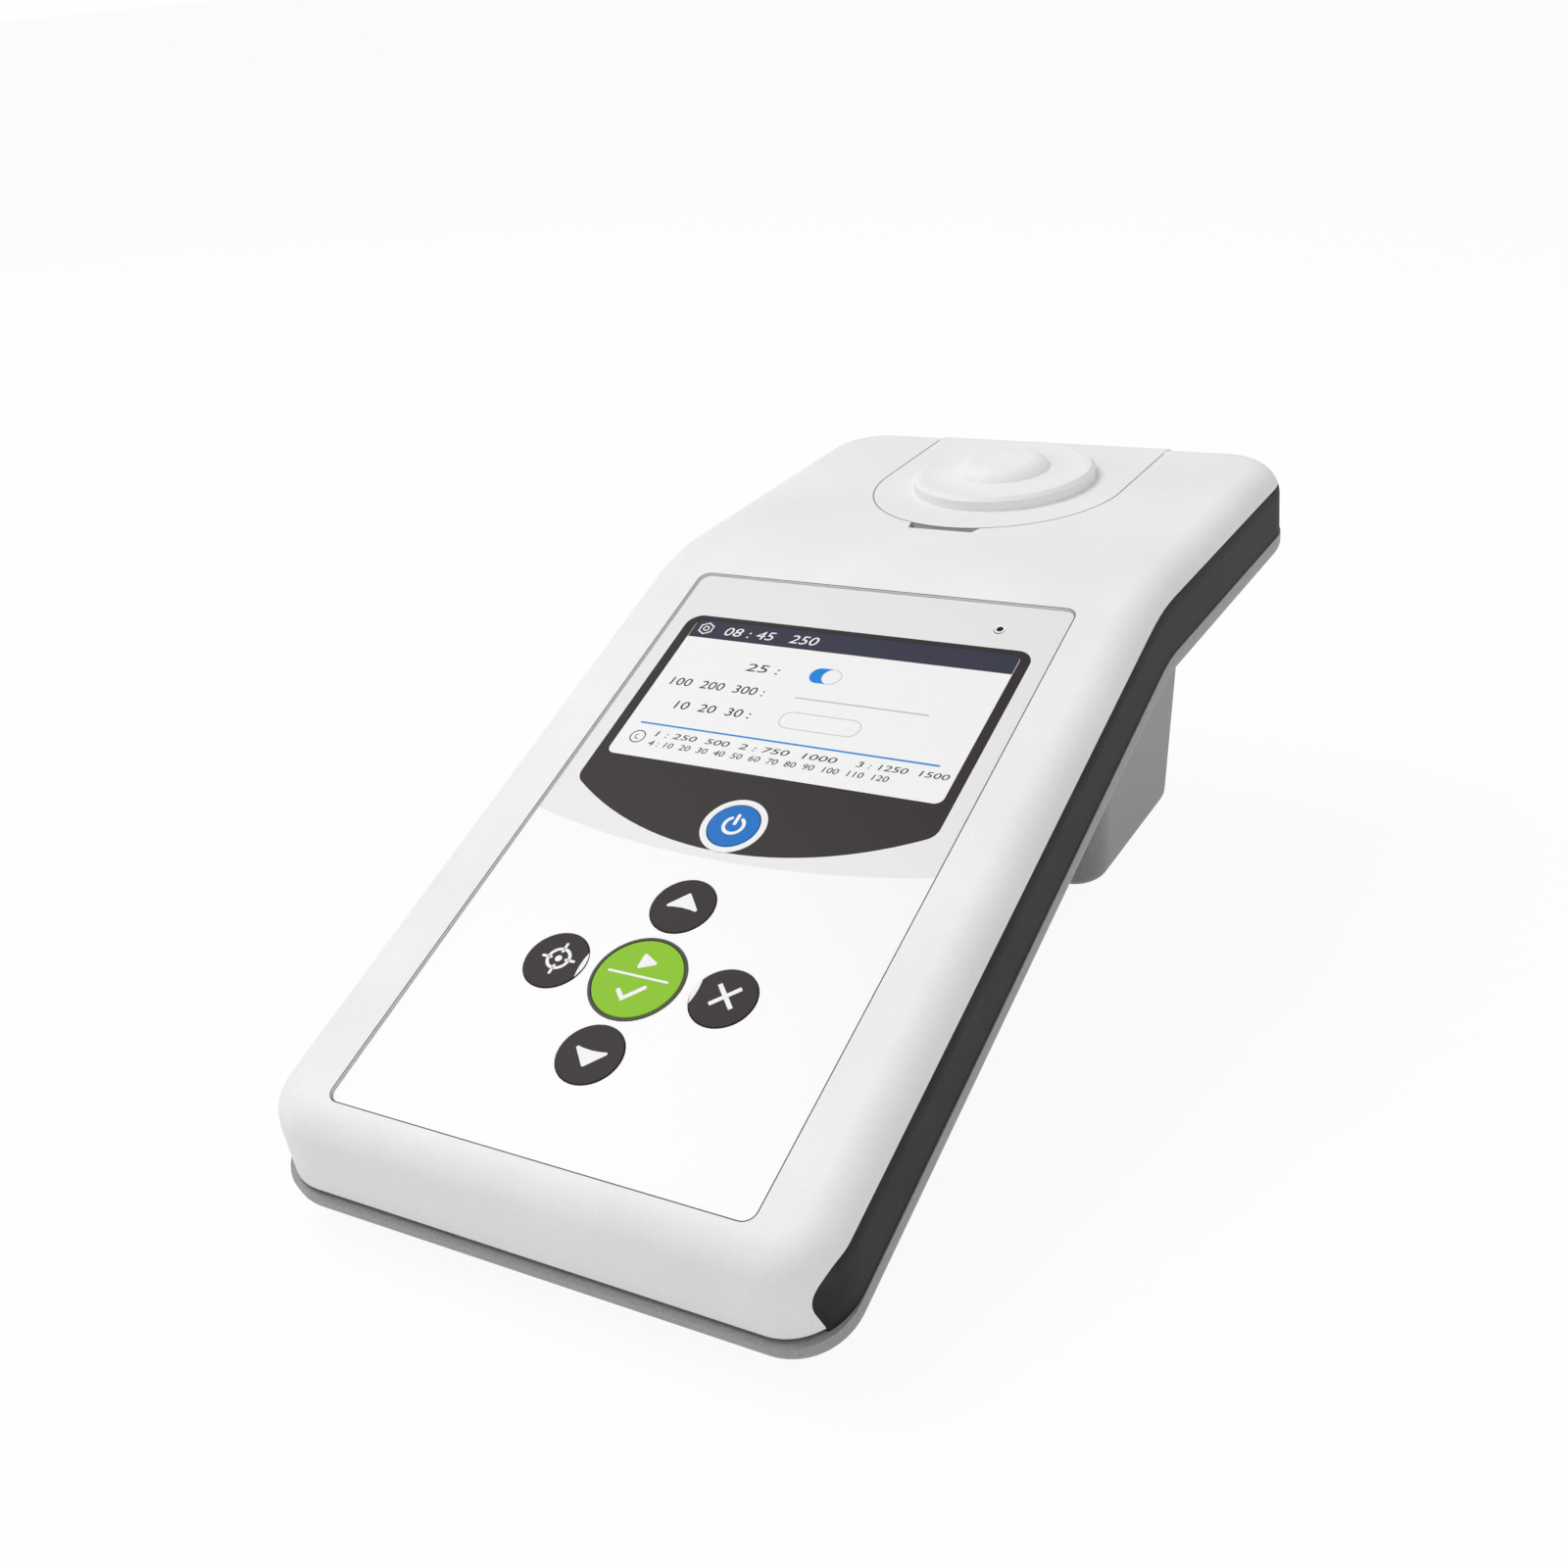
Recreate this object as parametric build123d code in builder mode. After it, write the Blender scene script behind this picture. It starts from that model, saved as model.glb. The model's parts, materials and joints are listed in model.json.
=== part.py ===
from build123d import *
import math
import os

os.makedirs("parts", exist_ok=True)

# Portable water hardness meter, in millimetres.
# The housing is a slab that bends once: a steep keypad in front, a flatter deck with the lid behind.
# Places on the keypad are (x, u, n): u runs up the slope from the panel's lower edge, n stands out of it.
# Places on the deck are (x, v, h): v runs back from the bend, h stands out of it.
# A depth is measured down into the body from its top surface.

# Attitude and side outline
deck_tilt = 3.0
bend = 18.7
bend_radius = 40.0
bend_height = 72.0
keypad_length = 131.0
deck_length = 76.5
body_width = 100.0

# Upper shell
cover_depth = 13.6
cover_top_wall = 2.5
cover_wall = 3.8
front_reach = 8.85
front_draft = 15.0
front_corner = 10.0
rear_corner = 13.0
top_rounding = 6.0
least_corner = 3.0
cut_spare = 3.0
reveal_height = 0.7
reveal_depth = 1.2

# Side grips
grip_top = 3.9
grip_thickness = 1.8
grip_front = 5.0
grip_front_rounding = 6.0
grip_rear_reach = 13.0

# Lower shell
lip_height = 4.6
lip_reach = 9.8
lip_proud = 0.2
lip_rounding = 3.0
lip_floor = 2.0
tub_inset = 8.0
tub_depth = 25.0
tub_corner = 6.0
tub_rounding = 3.0
case_wall = 2.0
tongue_height = 1.6
tongue_thickness = 1.0
tongue_clearance = 0.1
heel_height = 1.0
case_rib_places = (102.0, 116.0)
case_rib_thickness = 1.2
case_rib_height = 4.0

# Sample chamber housing under the deck
chamber_foot = 1.0
chamber_rear_reach = 16.5
chamber_length = 48.8
chamber_front_half = 29.3
chamber_rear_half = 27.2
chamber_draft = 4.0
chamber_top = 52.0
chamber_corner = 7.0
chamber_rounding = 4.0
chamber_wall = 2.2

# Front panel
panel_width = 75.0
panel_length = 124.0
panel_corner = 2.0
panel_recess = 0.9
sheet_thickness = 0.5
sheet_clearance = 0.15
bezel_half = 34.0
bezel_top = 113.0
bezel_side_bottom = 70.5
bezel_middle_bottom = 60.0
bezel_corner = 3.0
screen_half = 32.0
screen_bottom = 77.0
screen_top = 112.0
screen_corner = 1.5
screen_drop = 0.05
indicator_place = (25.6, 117.6)
indicator_radius = 1.0

# Keys: place on the panel and radius
power_place = (0.0, 65.6)
up_place = (0.0, 48.1)
enter_place = (0.0, 33.3)
down_place = (0.0, 18.7)
side_key_offset = 15.3
power_radius = 4.5
round_key_radius = 5.4
enter_radius = 7.4
bite_radius = 9.2
power_ring_width = 1.1
enter_ring_width = 0.45
key_proud = 0.15
key_gap = 0.15
key_flange = 0.8
key_flange_height = 0.6
key_flange_gap = 0.1
key_stem = 1.6
key_edge = 0.1
switch_gap = 0.5
trim_gap = 0.05
ring_proud = 0.1

# Electronics
board_top = 8.6
board_thickness = 1.6
board_side_gap = 7.0
board_front = 3.0
board_rear = 123.0
board_post_inset = 3.0
board_post_u = (41.0, 119.6)
board_post_radius = 2.6
board_screw_radius = 1.0
screw_play = 0.02
switch_size = 6.0
switch_height = 3.2
switch_dome_radius = 1.7
switch_dome_height = 0.8
indicator_lamp_height = 0.9
board_boss_gap = 0.5
board_hole_play = 0.1
board_screw_head = 1.9
board_screw_head_height = 1.4
board_screw_grip = 4.0
board_chips = (
    ((-14.0, 100.0), (14.0, 14.0, 1.6)),
    ((6.0, 104.0), (8.0, 6.0, 1.5)),
    ((-30.0, 90.0), (7.0, 12.0, 2.5)),
    ((-26.0, 14.0), (9.0, 9.0, 1.2)),
    ((8.0, 118.0), (18.0, 5.0, 3.0)),
)
display_margin = 4.0
cushion_inset = 4.0
cushion_width = 3.0
display_wall = 0.8
backlight_thickness = 2.6
buzzer_place = (26.0, 108.0)
buzzer_radius = 6.0
buzzer_height = 4.0

# Batteries, four small cells side by side
cell_radius = 5.25
cell_length = 43.7
cell_nub = 0.8
cell_nub_radius = 1.9
cell_pitch = 11.0
cell_count = 4
cell_depth = 16.5
cell_side_play = 0.3
contact_thickness = 0.5
contact_size = 8.0
leaf_thickness = 0.4
leaf_room = 2.5
leaf_width = 6.0
tray_front = 35.0
tray_wall = 1.5
tray_board_gap = 1.0
door_ledge = 2.5
door_land = 9.0
door_pad = 1.0
door_pad_margin = 4.0
door_gap = 0.25
door_seat_gap = 0.05
door_corner = 2.0
door_screw_radius = 1.2
door_screw_play = 0.1
door_screw_head = 2.3
door_screw_head_height = 1.0
door_screw_length = 5.5
door_boss_radius = 3.3
door_boss_height = 5.0
door_rib_height = 0.8
door_rib_inset = 1.0
door_groove_count = 5
door_groove_pitch = 2.4
door_groove_length = 18.0
door_groove_width = 1.0
door_groove_depth = 0.5
door_groove_inset = 13.0

# Screws that join the two shells
screw_radius = 1.45
screw_head = 2.7
screw_head_height = 1.8
screw_seat_depth = 20.5
screw_tip_depth = 6.5
screw_sink_gap = 0.2
screw_hex_radius = 1.5
screw_slot_width = 0.6
screw_slot_depth = 0.5
boss_radius = 3.8
case_boss_radius = 4.4
screw_side_inset = 14.0
front_screw_u = 22.0
rear_screw_inset = 19.5

# Lid and its hinge
lid_half = 25.0
lid_reach = 27.0
lid_thickness = 2.2
lid_seat_gap = 0.2
lid_gap = 0.15
lid_pan_thickness = 2.0
lid_pan_margin = 2.5
lid_open_hole = 14.4
hinge_radius = 5.0
hinge_gap = 0.3
hinge_wall = 1.2
hinge_lug = 6.0
pin_radius = 1.5
pin_running = 0.06
pin_play = 0.02
pin_end_gap = 0.2
slot_reach = 1.8
slot_left = -8.0
slot_right = 7.2
slot_flare = 1.0
scoop_depth = 3.2
scoop_lip = 0.7

# Round cap on the lid
cap_rear_inset = 29.0
cap_radius = 18.0
cap_rim_height = 2.6
cap_rim_edge = 0.7
cap_rim_width = 1.8
cap_dish_height = 2.2
cap_dish_radius = 12.6
cap_boss_foot = 9.4
cap_boss_radius = 6.2
cap_boss_height = 4.8
cap_wall = 1.5
cap_spigot_gap = 0.1

# Sample well and light path
well_bore = 12.7
well_wall = 1.6
well_depth = 62.0
well_bottom_rounding = 2.0
well_floor = 2.0
well_flange = 16.4
well_flange_height = 2.0
well_neck_drop = 0.3
well_neck_gap = 0.3
seal_inner = 15.6
seal_outer = 17.4
seal_height = 0.9
seal_proud = 0.1
seal_side_gap = 0.1
light_axis_depth = 46.0
light_window = 2.2
collar_radius = 5.5
collar_bore = 3.0
collar_end = 22.0
collar_step = 15.2
optic_play = 0.05
lens_edge = 0.9
lens_crown = 0.8
filter_thickness = 1.5
lamp_radius = 2.45
lamp_length = 4.2
diode_length = 4.2
sensor_board_width = 16.0
sensor_board_height = 14.0
well_rest_radius = 8.0
well_rest_height = 7.0
lamp_flange = 1.0
lamp_tip_flat = 0.3

# Feet
front_foot_inset = 21.0
front_foot_u = 9.0
front_foot_radius = 5.5
front_foot_blank = 7.0
chamber_foot_radius = 4.0
chamber_foot_x = 17.0
chamber_foot_inset = 11.0

# Angles and places that follow from the sizes above
keypad_tilt = deck_tilt + bend
bend_reach = bend_radius * math.tan(math.radians(bend / 2))
bend_start = keypad_length - bend_reach
half_width = body_width / 2
grip_rear_end = half_width - grip_rear_reach
board_half = half_width - board_side_gap
board_post_x = board_half - board_post_inset
cap_place = deck_length - cap_rear_inset
chamber_front = cap_place + chamber_rear_reach - chamber_length
lid_front = cap_place - lid_reach
slot_front = lid_front - slot_reach
front_screw_place = (half_width - screw_side_inset, front_screw_u)
rear_screw_place = (half_width - screw_side_inset, deck_length - rear_screw_inset)
front_foot_place = (half_width - front_foot_inset, front_foot_u)
lip_half = half_width + lip_proud
lip_bottom = cover_depth + lip_height
pan_top = lid_thickness + lid_seat_gap
pan_bottom = pan_top + lid_pan_thickness
board_bottom = board_top + board_thickness
floor_inside = tub_depth - case_wall
hinge_v = deck_length - hinge_radius
tray_half = cell_count * cell_pitch / 2 + cell_side_play
tray_length = contact_thickness + cell_nub + cell_length + leaf_room
tray_rear = tray_front + tray_length
tray_top = board_bottom + tray_board_gap
door_half = tray_half + door_ledge
door_front = tray_front - door_land
door_rear = tray_rear + door_land
door_screw_places = ((0, door_front + door_land / 2), (0, door_rear - door_land / 2))


def cos_of(angle):
    return math.cos(math.radians(angle))


def sin_of(angle):
    return math.sin(math.radians(angle))


def cover_front(depth, inset=0.0):
    """How far up the slope the upper shell's drafted front wall stands at a depth."""
    return -front_reach + (cover_depth - depth) * math.tan(math.radians(front_draft)) + inset


# The origin lies on the table under the middle of the body's length
front_round_u = cover_front(top_rounding) + top_rounding / cos_of(front_draft)
front_end = (keypad_length - front_round_u) * cos_of(keypad_tilt) + top_rounding * (1 - sin_of(keypad_tilt))
rear_round_v = deck_length - lip_rounding
rear_end = rear_round_v * cos_of(deck_tilt) + (lip_bottom - lip_rounding) * sin_of(deck_tilt) + lip_rounding
bend_y = (front_end - rear_end) / 2


def on_keypad(u, n):
    """Side view place (y, z) of a keypad place."""
    along = u - keypad_length
    y = bend_y + along * cos_of(keypad_tilt) - n * sin_of(keypad_tilt)
    z = bend_height + along * sin_of(keypad_tilt) + n * cos_of(keypad_tilt)
    return (y, z)


def on_deck(v, h):
    """Side view place (y, z) of a deck place."""
    y = bend_y + v * cos_of(deck_tilt) - h * sin_of(deck_tilt)
    z = bend_height + v * sin_of(deck_tilt) + h * cos_of(deck_tilt)
    return (y, z)


def on_bend(depth):
    """Side view place in the middle of the bend at a depth."""
    centre_y, centre_z = on_keypad(bend_start, -bend_radius)
    middle = deck_tilt + bend / 2
    reach = bend_radius - depth
    return (centre_y - reach * sin_of(middle), centre_z + reach * cos_of(middle))


keypad_normal = (0, -sin_of(keypad_tilt), cos_of(keypad_tilt))
deck_normal = (0, -sin_of(deck_tilt), cos_of(deck_tilt))
keypad = Plane(origin=(0, *on_keypad(0, 0)), x_dir=(1, 0, 0), z_dir=keypad_normal)
deck = Plane(origin=(0, bend_y, bend_height), x_dir=(1, 0, 0), z_dir=deck_normal)
well_axis = Plane(origin=(0, *on_deck(cap_place, 0)), x_dir=(1, 0, 0), z_dir=deck_normal)
light_axis = Plane(origin=(0, *on_deck(cap_place, -light_axis_depth)), x_dir=(0, 1, 0), z_dir=(1, 0, 0))
hinge_axis = Plane(origin=(0, *on_deck(hinge_v, -hinge_radius)), x_dir=(0, 1, 0), z_dir=(1, 0, 0))
keypad_side = Plane(
    origin=(0, *on_keypad(0, 0)), x_dir=(0, cos_of(keypad_tilt), sin_of(keypad_tilt)), z_dir=(1, 0, 0)
)
well_section = Plane(
    origin=well_axis.origin, x_dir=(1, 0, 0), z_dir=(0, -cos_of(deck_tilt), -sin_of(deck_tilt))
)
light_section = Plane(origin=light_axis.origin, x_dir=(1, 0, 0), z_dir=(0, 0, 1))
well_line = Axis(well_axis.origin, well_axis.z_dir)
light_line = Axis(light_axis.origin, (1, 0, 0))


def depth_of(place):
    """Depth of a place below the top surface."""
    u = keypad.to_local_coords(place).Y
    v = deck.to_local_coords(place).Y
    if u < bend_start:
        return -keypad.to_local_coords(place).Z
    if v > bend_reach:
        return -deck.to_local_coords(place).Z
    centre_y, centre_z = on_keypad(bend_start, -bend_radius)
    return bend_radius - math.hypot(place.Y - centre_y, place.Z - centre_z)


def crosses_at_bend(edge):
    """True for the two straight edges that cross the body where the bend starts and ends."""
    middle = edge @ 0.5
    start = on_keypad(bend_start, 0)[0] - 1
    end = on_deck(bend_reach, -tub_depth)[0] + 1
    return abs(middle.X) < 0.01 and start < middle.Y < end


def rim_at(form, depth):
    """Edges round a form at one depth, without the ones that cross it."""
    return form.edges().filter_by(
        lambda edge: abs(depth_of(edge @ 0.5) - depth) < 0.01 and not crosses_at_bend(edge)
    )


def run_along(depth, front, rear):
    """Line, arc and line along the body at one depth, from u = front to v = rear."""
    Line(on_keypad(front, -depth), on_keypad(bend_start, -depth))
    ThreePointArc(on_keypad(bend_start, -depth), on_bend(depth), on_deck(bend_reach, -depth))
    Line(on_deck(bend_reach, -depth), on_deck(rear, -depth))


def slab(half, front_top, front_bottom, rear, top, bottom, corners, top_edge=0.0, bottom_edge=0.0):
    """Rounded slab that follows keypad, bend and deck between two depths."""
    with BuildPart() as form:
        with BuildSketch(Plane.YZ):
            with BuildLine():
                run_along(top, front_top, rear)
                run_along(bottom, front_bottom, rear)
                Line(on_keypad(front_top, -top), on_keypad(front_bottom, -bottom))
                Line(on_deck(rear, -top), on_deck(rear, -bottom))
            make_face()
        extrude(amount=half, both=True)
        front_edges = form.faces().sort_by(Axis.Y)[0].edges().filter_by(Axis.X, reverse=True)
        rear_edges = form.faces().sort_by(Axis.Y)[-1].edges().filter_by(Axis.X, reverse=True)
        fillet(front_edges, corners[0])
        fillet(rear_edges, corners[1])
        if top_edge > 0:
            fillet(rim_at(form, top), top_edge)
        if bottom_edge > 0:
            fillet(rim_at(form, bottom), bottom_edge)
    return form.part


def cover_slab(inset, top, bottom, top_edge=0.0):
    """Slab with the upper shell's outline, set in from it all round."""
    corners = (front_corner - min(inset, front_corner - least_corner), rear_corner - inset)
    return slab(
        half_width - inset, cover_front(top, inset), cover_front(bottom, inset),
        deck_length - inset, top, bottom, corners, top_edge,
    )


def case_slab(inset, top, bottom, corners, bottom_edge=0.0):
    """Slab with the lower shell's outline, set in from it all round."""
    front = -lip_reach + inset
    return slab(lip_half - inset, front, front, deck_length - inset, top, bottom, corners, 0.0, bottom_edge)


def both_sides(place):
    """A place and its mirror image."""
    return [place, (-place[0], place[1])]


# Side grips: soft inlays let into the upper shell, from the front corner round to the rear face
def grip_room(side):
    """Pocket for the grip on one side: side is 1 for the right, -1 for the left."""
    start_x = side * grip_rear_end
    with BuildPart() as room:
        with BuildSketch(Plane.YZ.offset(start_x)):
            with BuildLine():
                run_along(grip_top, -grip_front, deck_length + 2)
                run_along(cover_depth + 1, -grip_front, deck_length + 2)
                Line(on_keypad(-grip_front, -grip_top), on_keypad(-grip_front, -cover_depth - 1))
                Line(on_deck(deck_length + 2, -grip_top), on_deck(deck_length + 2, -cover_depth - 1))
            make_face()
        extrude(amount=side * (half_width + 2 - grip_rear_end))
        front_top = room.edges().filter_by(Axis.X).sort_by(Axis.Y)[:2].sort_by(Axis.Z)[-1]
        fillet(front_top, grip_front_rounding)
        add(cover_slab(grip_thickness, -1.0, cover_depth + 2), mode=Mode.SUBTRACT)
    return room.part


cover_outside = cover_slab(0.0, 0.0, cover_depth, top_rounding)
grip_rooms = {"left": grip_room(-1), "right": grip_room(1)}
for side_name, room in grip_rooms.items():
    with BuildPart() as side_grip:
        add(cover_outside)
        add(room, mode=Mode.INTERSECT)
    side_grip.part.label = "side_grip_" + side_name
    export_step(side_grip.part, "parts/side_grip_" + side_name + ".step")


# Outlines shared by the panel's pieces
def bezel_outline(grow=0.0):
    """Dark display surround: straight top and sides, one long arc below."""
    half = bezel_half + grow
    top = bezel_top + grow
    side = bezel_side_bottom - grow
    with BuildSketch() as outline:
        with BuildLine():
            Polyline((-half, side), (-half, top), (half, top), (half, side))
            ThreePointArc((half, side), (0, bezel_middle_bottom - grow), (-half, side))
        make_face()
        fillet(outline.vertices(), bezel_corner)
    return outline.sketch


def screen_outline(grow=0.0):
    """Visible rectangle of the display."""
    height = screen_top - screen_bottom + 2 * grow
    with BuildSketch() as outline:
        with Locations((0, (screen_top + screen_bottom) / 2)):
            RectangleRounded(2 * screen_half + 2 * grow, height, screen_corner)
    return outline.sketch


def bitten_outline(place, grow=0.0):
    """Round key beside the middle one, with a bite that keeps clear of it."""
    with BuildSketch() as outline:
        with Locations(place):
            Circle(round_key_radius + grow)
        with Locations(enter_place):
            Circle(bite_radius - grow, mode=Mode.SUBTRACT)
    return outline.sketch


def round_outline(place, radius):
    with BuildSketch() as outline:
        with Locations(place):
            Circle(radius)
    return outline.sketch


left_place = (-side_key_offset, enter_place[1])
right_place = (side_key_offset, enter_place[1])


def ring_room(name):
    """How far the sheet's hole stands back from a key: more where a ring lies round it."""
    widths = {"power_key": power_ring_width, "enter_key": enter_ring_width}
    return key_gap + trim_gap + widths[name] if name in widths else key_gap


def key_outline(name, grow=0.0):
    """Outline of a key on the panel, grown by a gap or a flange."""
    if name in ("left_key", "right_key"):
        return bitten_outline(left_place if name == "left_key" else right_place, grow)
    radius = {"power_key": power_radius, "enter_key": enter_radius}.get(name, round_key_radius)
    return round_outline(key_places[name], radius + grow)


key_places = {
    "power_key": power_place,
    "up_key": up_place,
    "enter_key": enter_place,
    "down_key": down_place,
    "left_key": left_place,
    "right_key": right_place,
}
sheet_top = panel_recess - sheet_thickness


def lid_outline(grow=0.0):
    """Tongue of the lid: round in front, straight to the hinge line."""
    half = lid_half + grow
    start = lid_front - grow
    with BuildSketch() as outline:
        with BuildLine():
            Polyline((-half, start + half), (-half, hinge_v), (half, hinge_v), (half, start + half))
            ThreePointArc((half, start + half), (0, start), (-half, start + half))
        make_face()
    return outline.sketch


# Upper shell
with BuildPart() as top_cover:
    add(cover_outside)
    add(cover_slab(cover_wall, cover_top_wall, cover_depth + 1), mode=Mode.SUBTRACT)
    for room in grip_rooms.values():
        add(room, mode=Mode.SUBTRACT)

    # Pan under the lid and trough round its hinge
    with BuildSketch(deck.offset(-pan_bottom)):
        add(lid_outline(lid_pan_margin))
    extrude(amount=lid_pan_thickness + lid_seat_gap)
    with BuildSketch(hinge_axis):
        Circle(hinge_radius + hinge_gap + hinge_wall)
    extrude(amount=lid_half + hinge_lug, both=True)
    add(cover_outside, mode=Mode.INTERSECT)

    # Room for the lid, its hinge barrel, the fingernail slot and the well
    with BuildSketch(deck.offset(-pan_top)):
        add(lid_outline(lid_gap))
    extrude(amount=pan_top + 1, mode=Mode.SUBTRACT)
    with BuildSketch(hinge_axis):
        Circle(hinge_radius + hinge_gap)
    extrude(amount=lid_half + lid_gap, both=True, mode=Mode.SUBTRACT)
    with BuildSketch(deck.offset(-pan_top)):
        with BuildLine():
            Polyline(
                (slot_left + slot_flare, slot_front), (slot_right - slot_flare, slot_front),
                (slot_right, lid_front + 2), (slot_left, lid_front + 2), close=True,
            )
        make_face()
    extrude(amount=pan_top + 1, mode=Mode.SUBTRACT)
    with BuildSketch(hinge_axis):
        Circle(pin_radius + pin_play)
    extrude(amount=lid_half + hinge_lug + 1, both=True, mode=Mode.SUBTRACT)
    with BuildSketch(well_axis.offset(-pan_bottom)):
        Circle(well_bore + well_wall + well_neck_gap)
    extrude(amount=pan_bottom, mode=Mode.SUBTRACT)
    with BuildSketch(well_axis.offset(-pan_top)):
        Circle(seal_outer + seal_side_gap)
        Circle(seal_inner - seal_side_gap, mode=Mode.SUBTRACT)
    extrude(amount=-(seal_height - seal_proud), mode=Mode.SUBTRACT)

    # Recess for the panel, window for the display, holes for the keys and the indicator
    with BuildSketch(keypad.offset(-panel_recess)):
        with Locations((0, panel_length / 2)):
            RectangleRounded(panel_width, panel_length, panel_corner)
    extrude(amount=panel_recess + 1, mode=Mode.SUBTRACT)
    with BuildSketch(keypad.offset(-cover_top_wall - 1)):
        add(screen_outline(sheet_clearance))
        for key_name in key_places:
            add(key_outline(key_name, key_gap))
        with Locations(indicator_place):
            Circle(indicator_radius + key_gap)
    extrude(amount=cover_top_wall + 1, mode=Mode.SUBTRACT)

    # Shadow line above the lower shell, in front and behind
    with BuildPart(mode=Mode.PRIVATE) as reveal:
        add(cover_slab(-1.0, cover_depth - reveal_height, cover_depth + cut_spare))
        add(cover_slab(
            reveal_depth, cover_depth - reveal_height - 1, cover_depth + cut_spare + 1
        ), mode=Mode.SUBTRACT)
    add(reveal.part, mode=Mode.SUBTRACT)

    # Bosses for the case screws and posts for the board
    for plane, place in ((keypad, front_screw_place), (deck, rear_screw_place)):
        with BuildSketch(plane.offset(-cover_depth)):
            with Locations(*both_sides(place)):
                Circle(boss_radius)
        extrude(amount=cover_depth - cover_top_wall + 0.5)
        with BuildSketch(plane.offset(-cover_depth)):
            with Locations(*both_sides(place)):
                Circle(screw_radius + screw_play)
        extrude(amount=cover_depth - screw_tip_depth + 0.5, mode=Mode.SUBTRACT)
    with BuildSketch(keypad.offset(-board_top)):
        for post_u in board_post_u:
            with Locations(*both_sides((board_post_x, post_u))):
                Circle(board_post_radius)
    extrude(amount=board_top - cover_top_wall + 0.5)
    with BuildSketch(keypad.offset(-board_top)):
        for post_u in board_post_u:
            with Locations(*both_sides((board_post_x, post_u))):
                Circle(board_screw_radius + screw_play)
    extrude(amount=board_top - cover_top_wall - 1, mode=Mode.SUBTRACT)
top_cover.part.label = "top_cover"
export_step(top_cover.part, "parts/top_cover.step")


# Printed sheet and display surround in the panel's recess
with BuildPart() as keypad_overlay:
    with BuildSketch(keypad.offset(-panel_recess)):
        with Locations((0, panel_length / 2)):
            RectangleRounded(
                panel_width - 2 * sheet_clearance, panel_length - 2 * sheet_clearance, panel_corner
            )
        add(bezel_outline(trim_gap), mode=Mode.SUBTRACT)
        for key_name in key_places:
            add(key_outline(key_name, ring_room(key_name)), mode=Mode.SUBTRACT)
        with Locations(indicator_place):
            Circle(indicator_radius + trim_gap, mode=Mode.SUBTRACT)
    extrude(amount=sheet_thickness)
keypad_overlay.part.label = "keypad_overlay"
export_step(keypad_overlay.part, "parts/keypad_overlay.step")

with BuildPart() as display_bezel:
    with BuildSketch(keypad.offset(-panel_recess)):
        add(bezel_outline())
        add(screen_outline(trim_gap), mode=Mode.SUBTRACT)
        add(key_outline("power_key", ring_room("power_key")), mode=Mode.SUBTRACT)
    extrude(amount=sheet_thickness)
display_bezel.part.label = "display_bezel"
export_step(display_bezel.part, "parts/display_bezel.step")

for ring_name, key_name in (("power_key_ring", "power_key"), ("enter_key_ring", "enter_key")):
    with BuildPart() as ring:
        with BuildSketch(keypad.offset(-panel_recess)):
            add(key_outline(key_name, ring_room(key_name) - trim_gap))
            add(key_outline(key_name, key_gap), mode=Mode.SUBTRACT)
        extrude(amount=sheet_thickness + ring_proud)
    ring.part.label = ring_name
    export_step(ring.part, "parts/" + ring_name + ".step")

# Display: glass in the window, lamp plate and metal tray behind it, foam on the board
display_half = screen_half + display_margin
display_length = screen_top - screen_bottom + 2 * display_margin
display_middle = (0, (screen_top + screen_bottom) / 2)
tray_back = cover_top_wall + backlight_thickness + display_wall
with BuildPart() as display_screen:
    with BuildSketch(keypad.offset(-cover_top_wall)):
        add(screen_outline())
    extrude(amount=cover_top_wall - sheet_top - screen_drop)
display_screen.part.label = "display_screen"
export_step(display_screen.part, "parts/display_screen.step")

with BuildPart() as display_frame:
    with BuildSketch(keypad.offset(-tray_back)):
        with Locations(display_middle):
            RectangleRounded(2 * display_half, display_length, screen_corner)
    extrude(amount=tray_back - cover_top_wall)
    with BuildSketch(keypad.offset(-tray_back + display_wall)):
        with Locations(display_middle):
            Rectangle(2 * (display_half - display_wall), display_length - 2 * display_wall)
    extrude(amount=backlight_thickness, mode=Mode.SUBTRACT)
display_frame.part.label = "display_frame"
export_step(display_frame.part, "parts/display_frame.step")

with BuildPart() as display_backlight:
    with BuildSketch(keypad.offset(-tray_back + display_wall)):
        with Locations(display_middle):
            Rectangle(
                2 * (display_half - display_wall - trim_gap), display_length - 2 * (display_wall + trim_gap)
            )
    extrude(amount=backlight_thickness)
display_backlight.part.label = "display_backlight"
export_step(display_backlight.part, "parts/display_backlight.step")

with BuildPart() as display_cushion:
    with BuildSketch(keypad.offset(-board_top)):
        with Locations(display_middle):
            Rectangle(2 * display_half - cushion_inset, display_length - cushion_inset)
            Rectangle(
                2 * display_half - cushion_inset - 2 * cushion_width,
                display_length - cushion_inset - 2 * cushion_width,
                mode=Mode.SUBTRACT,
            )
    extrude(amount=board_top - tray_back)
display_cushion.part.label = "display_cushion"
export_step(display_cushion.part, "parts/display_cushion.step")

# Light pipe of the round indicator above the display
with BuildPart() as indicator_lens:
    with BuildSketch(keypad.offset(-board_top + indicator_lamp_height)):
        with Locations(indicator_place):
            Circle(indicator_radius)
    extrude(amount=board_top - indicator_lamp_height - sheet_top)
indicator_lens.part.label = "indicator_lens"
export_step(indicator_lens.part, "parts/indicator_lens.step")

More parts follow.
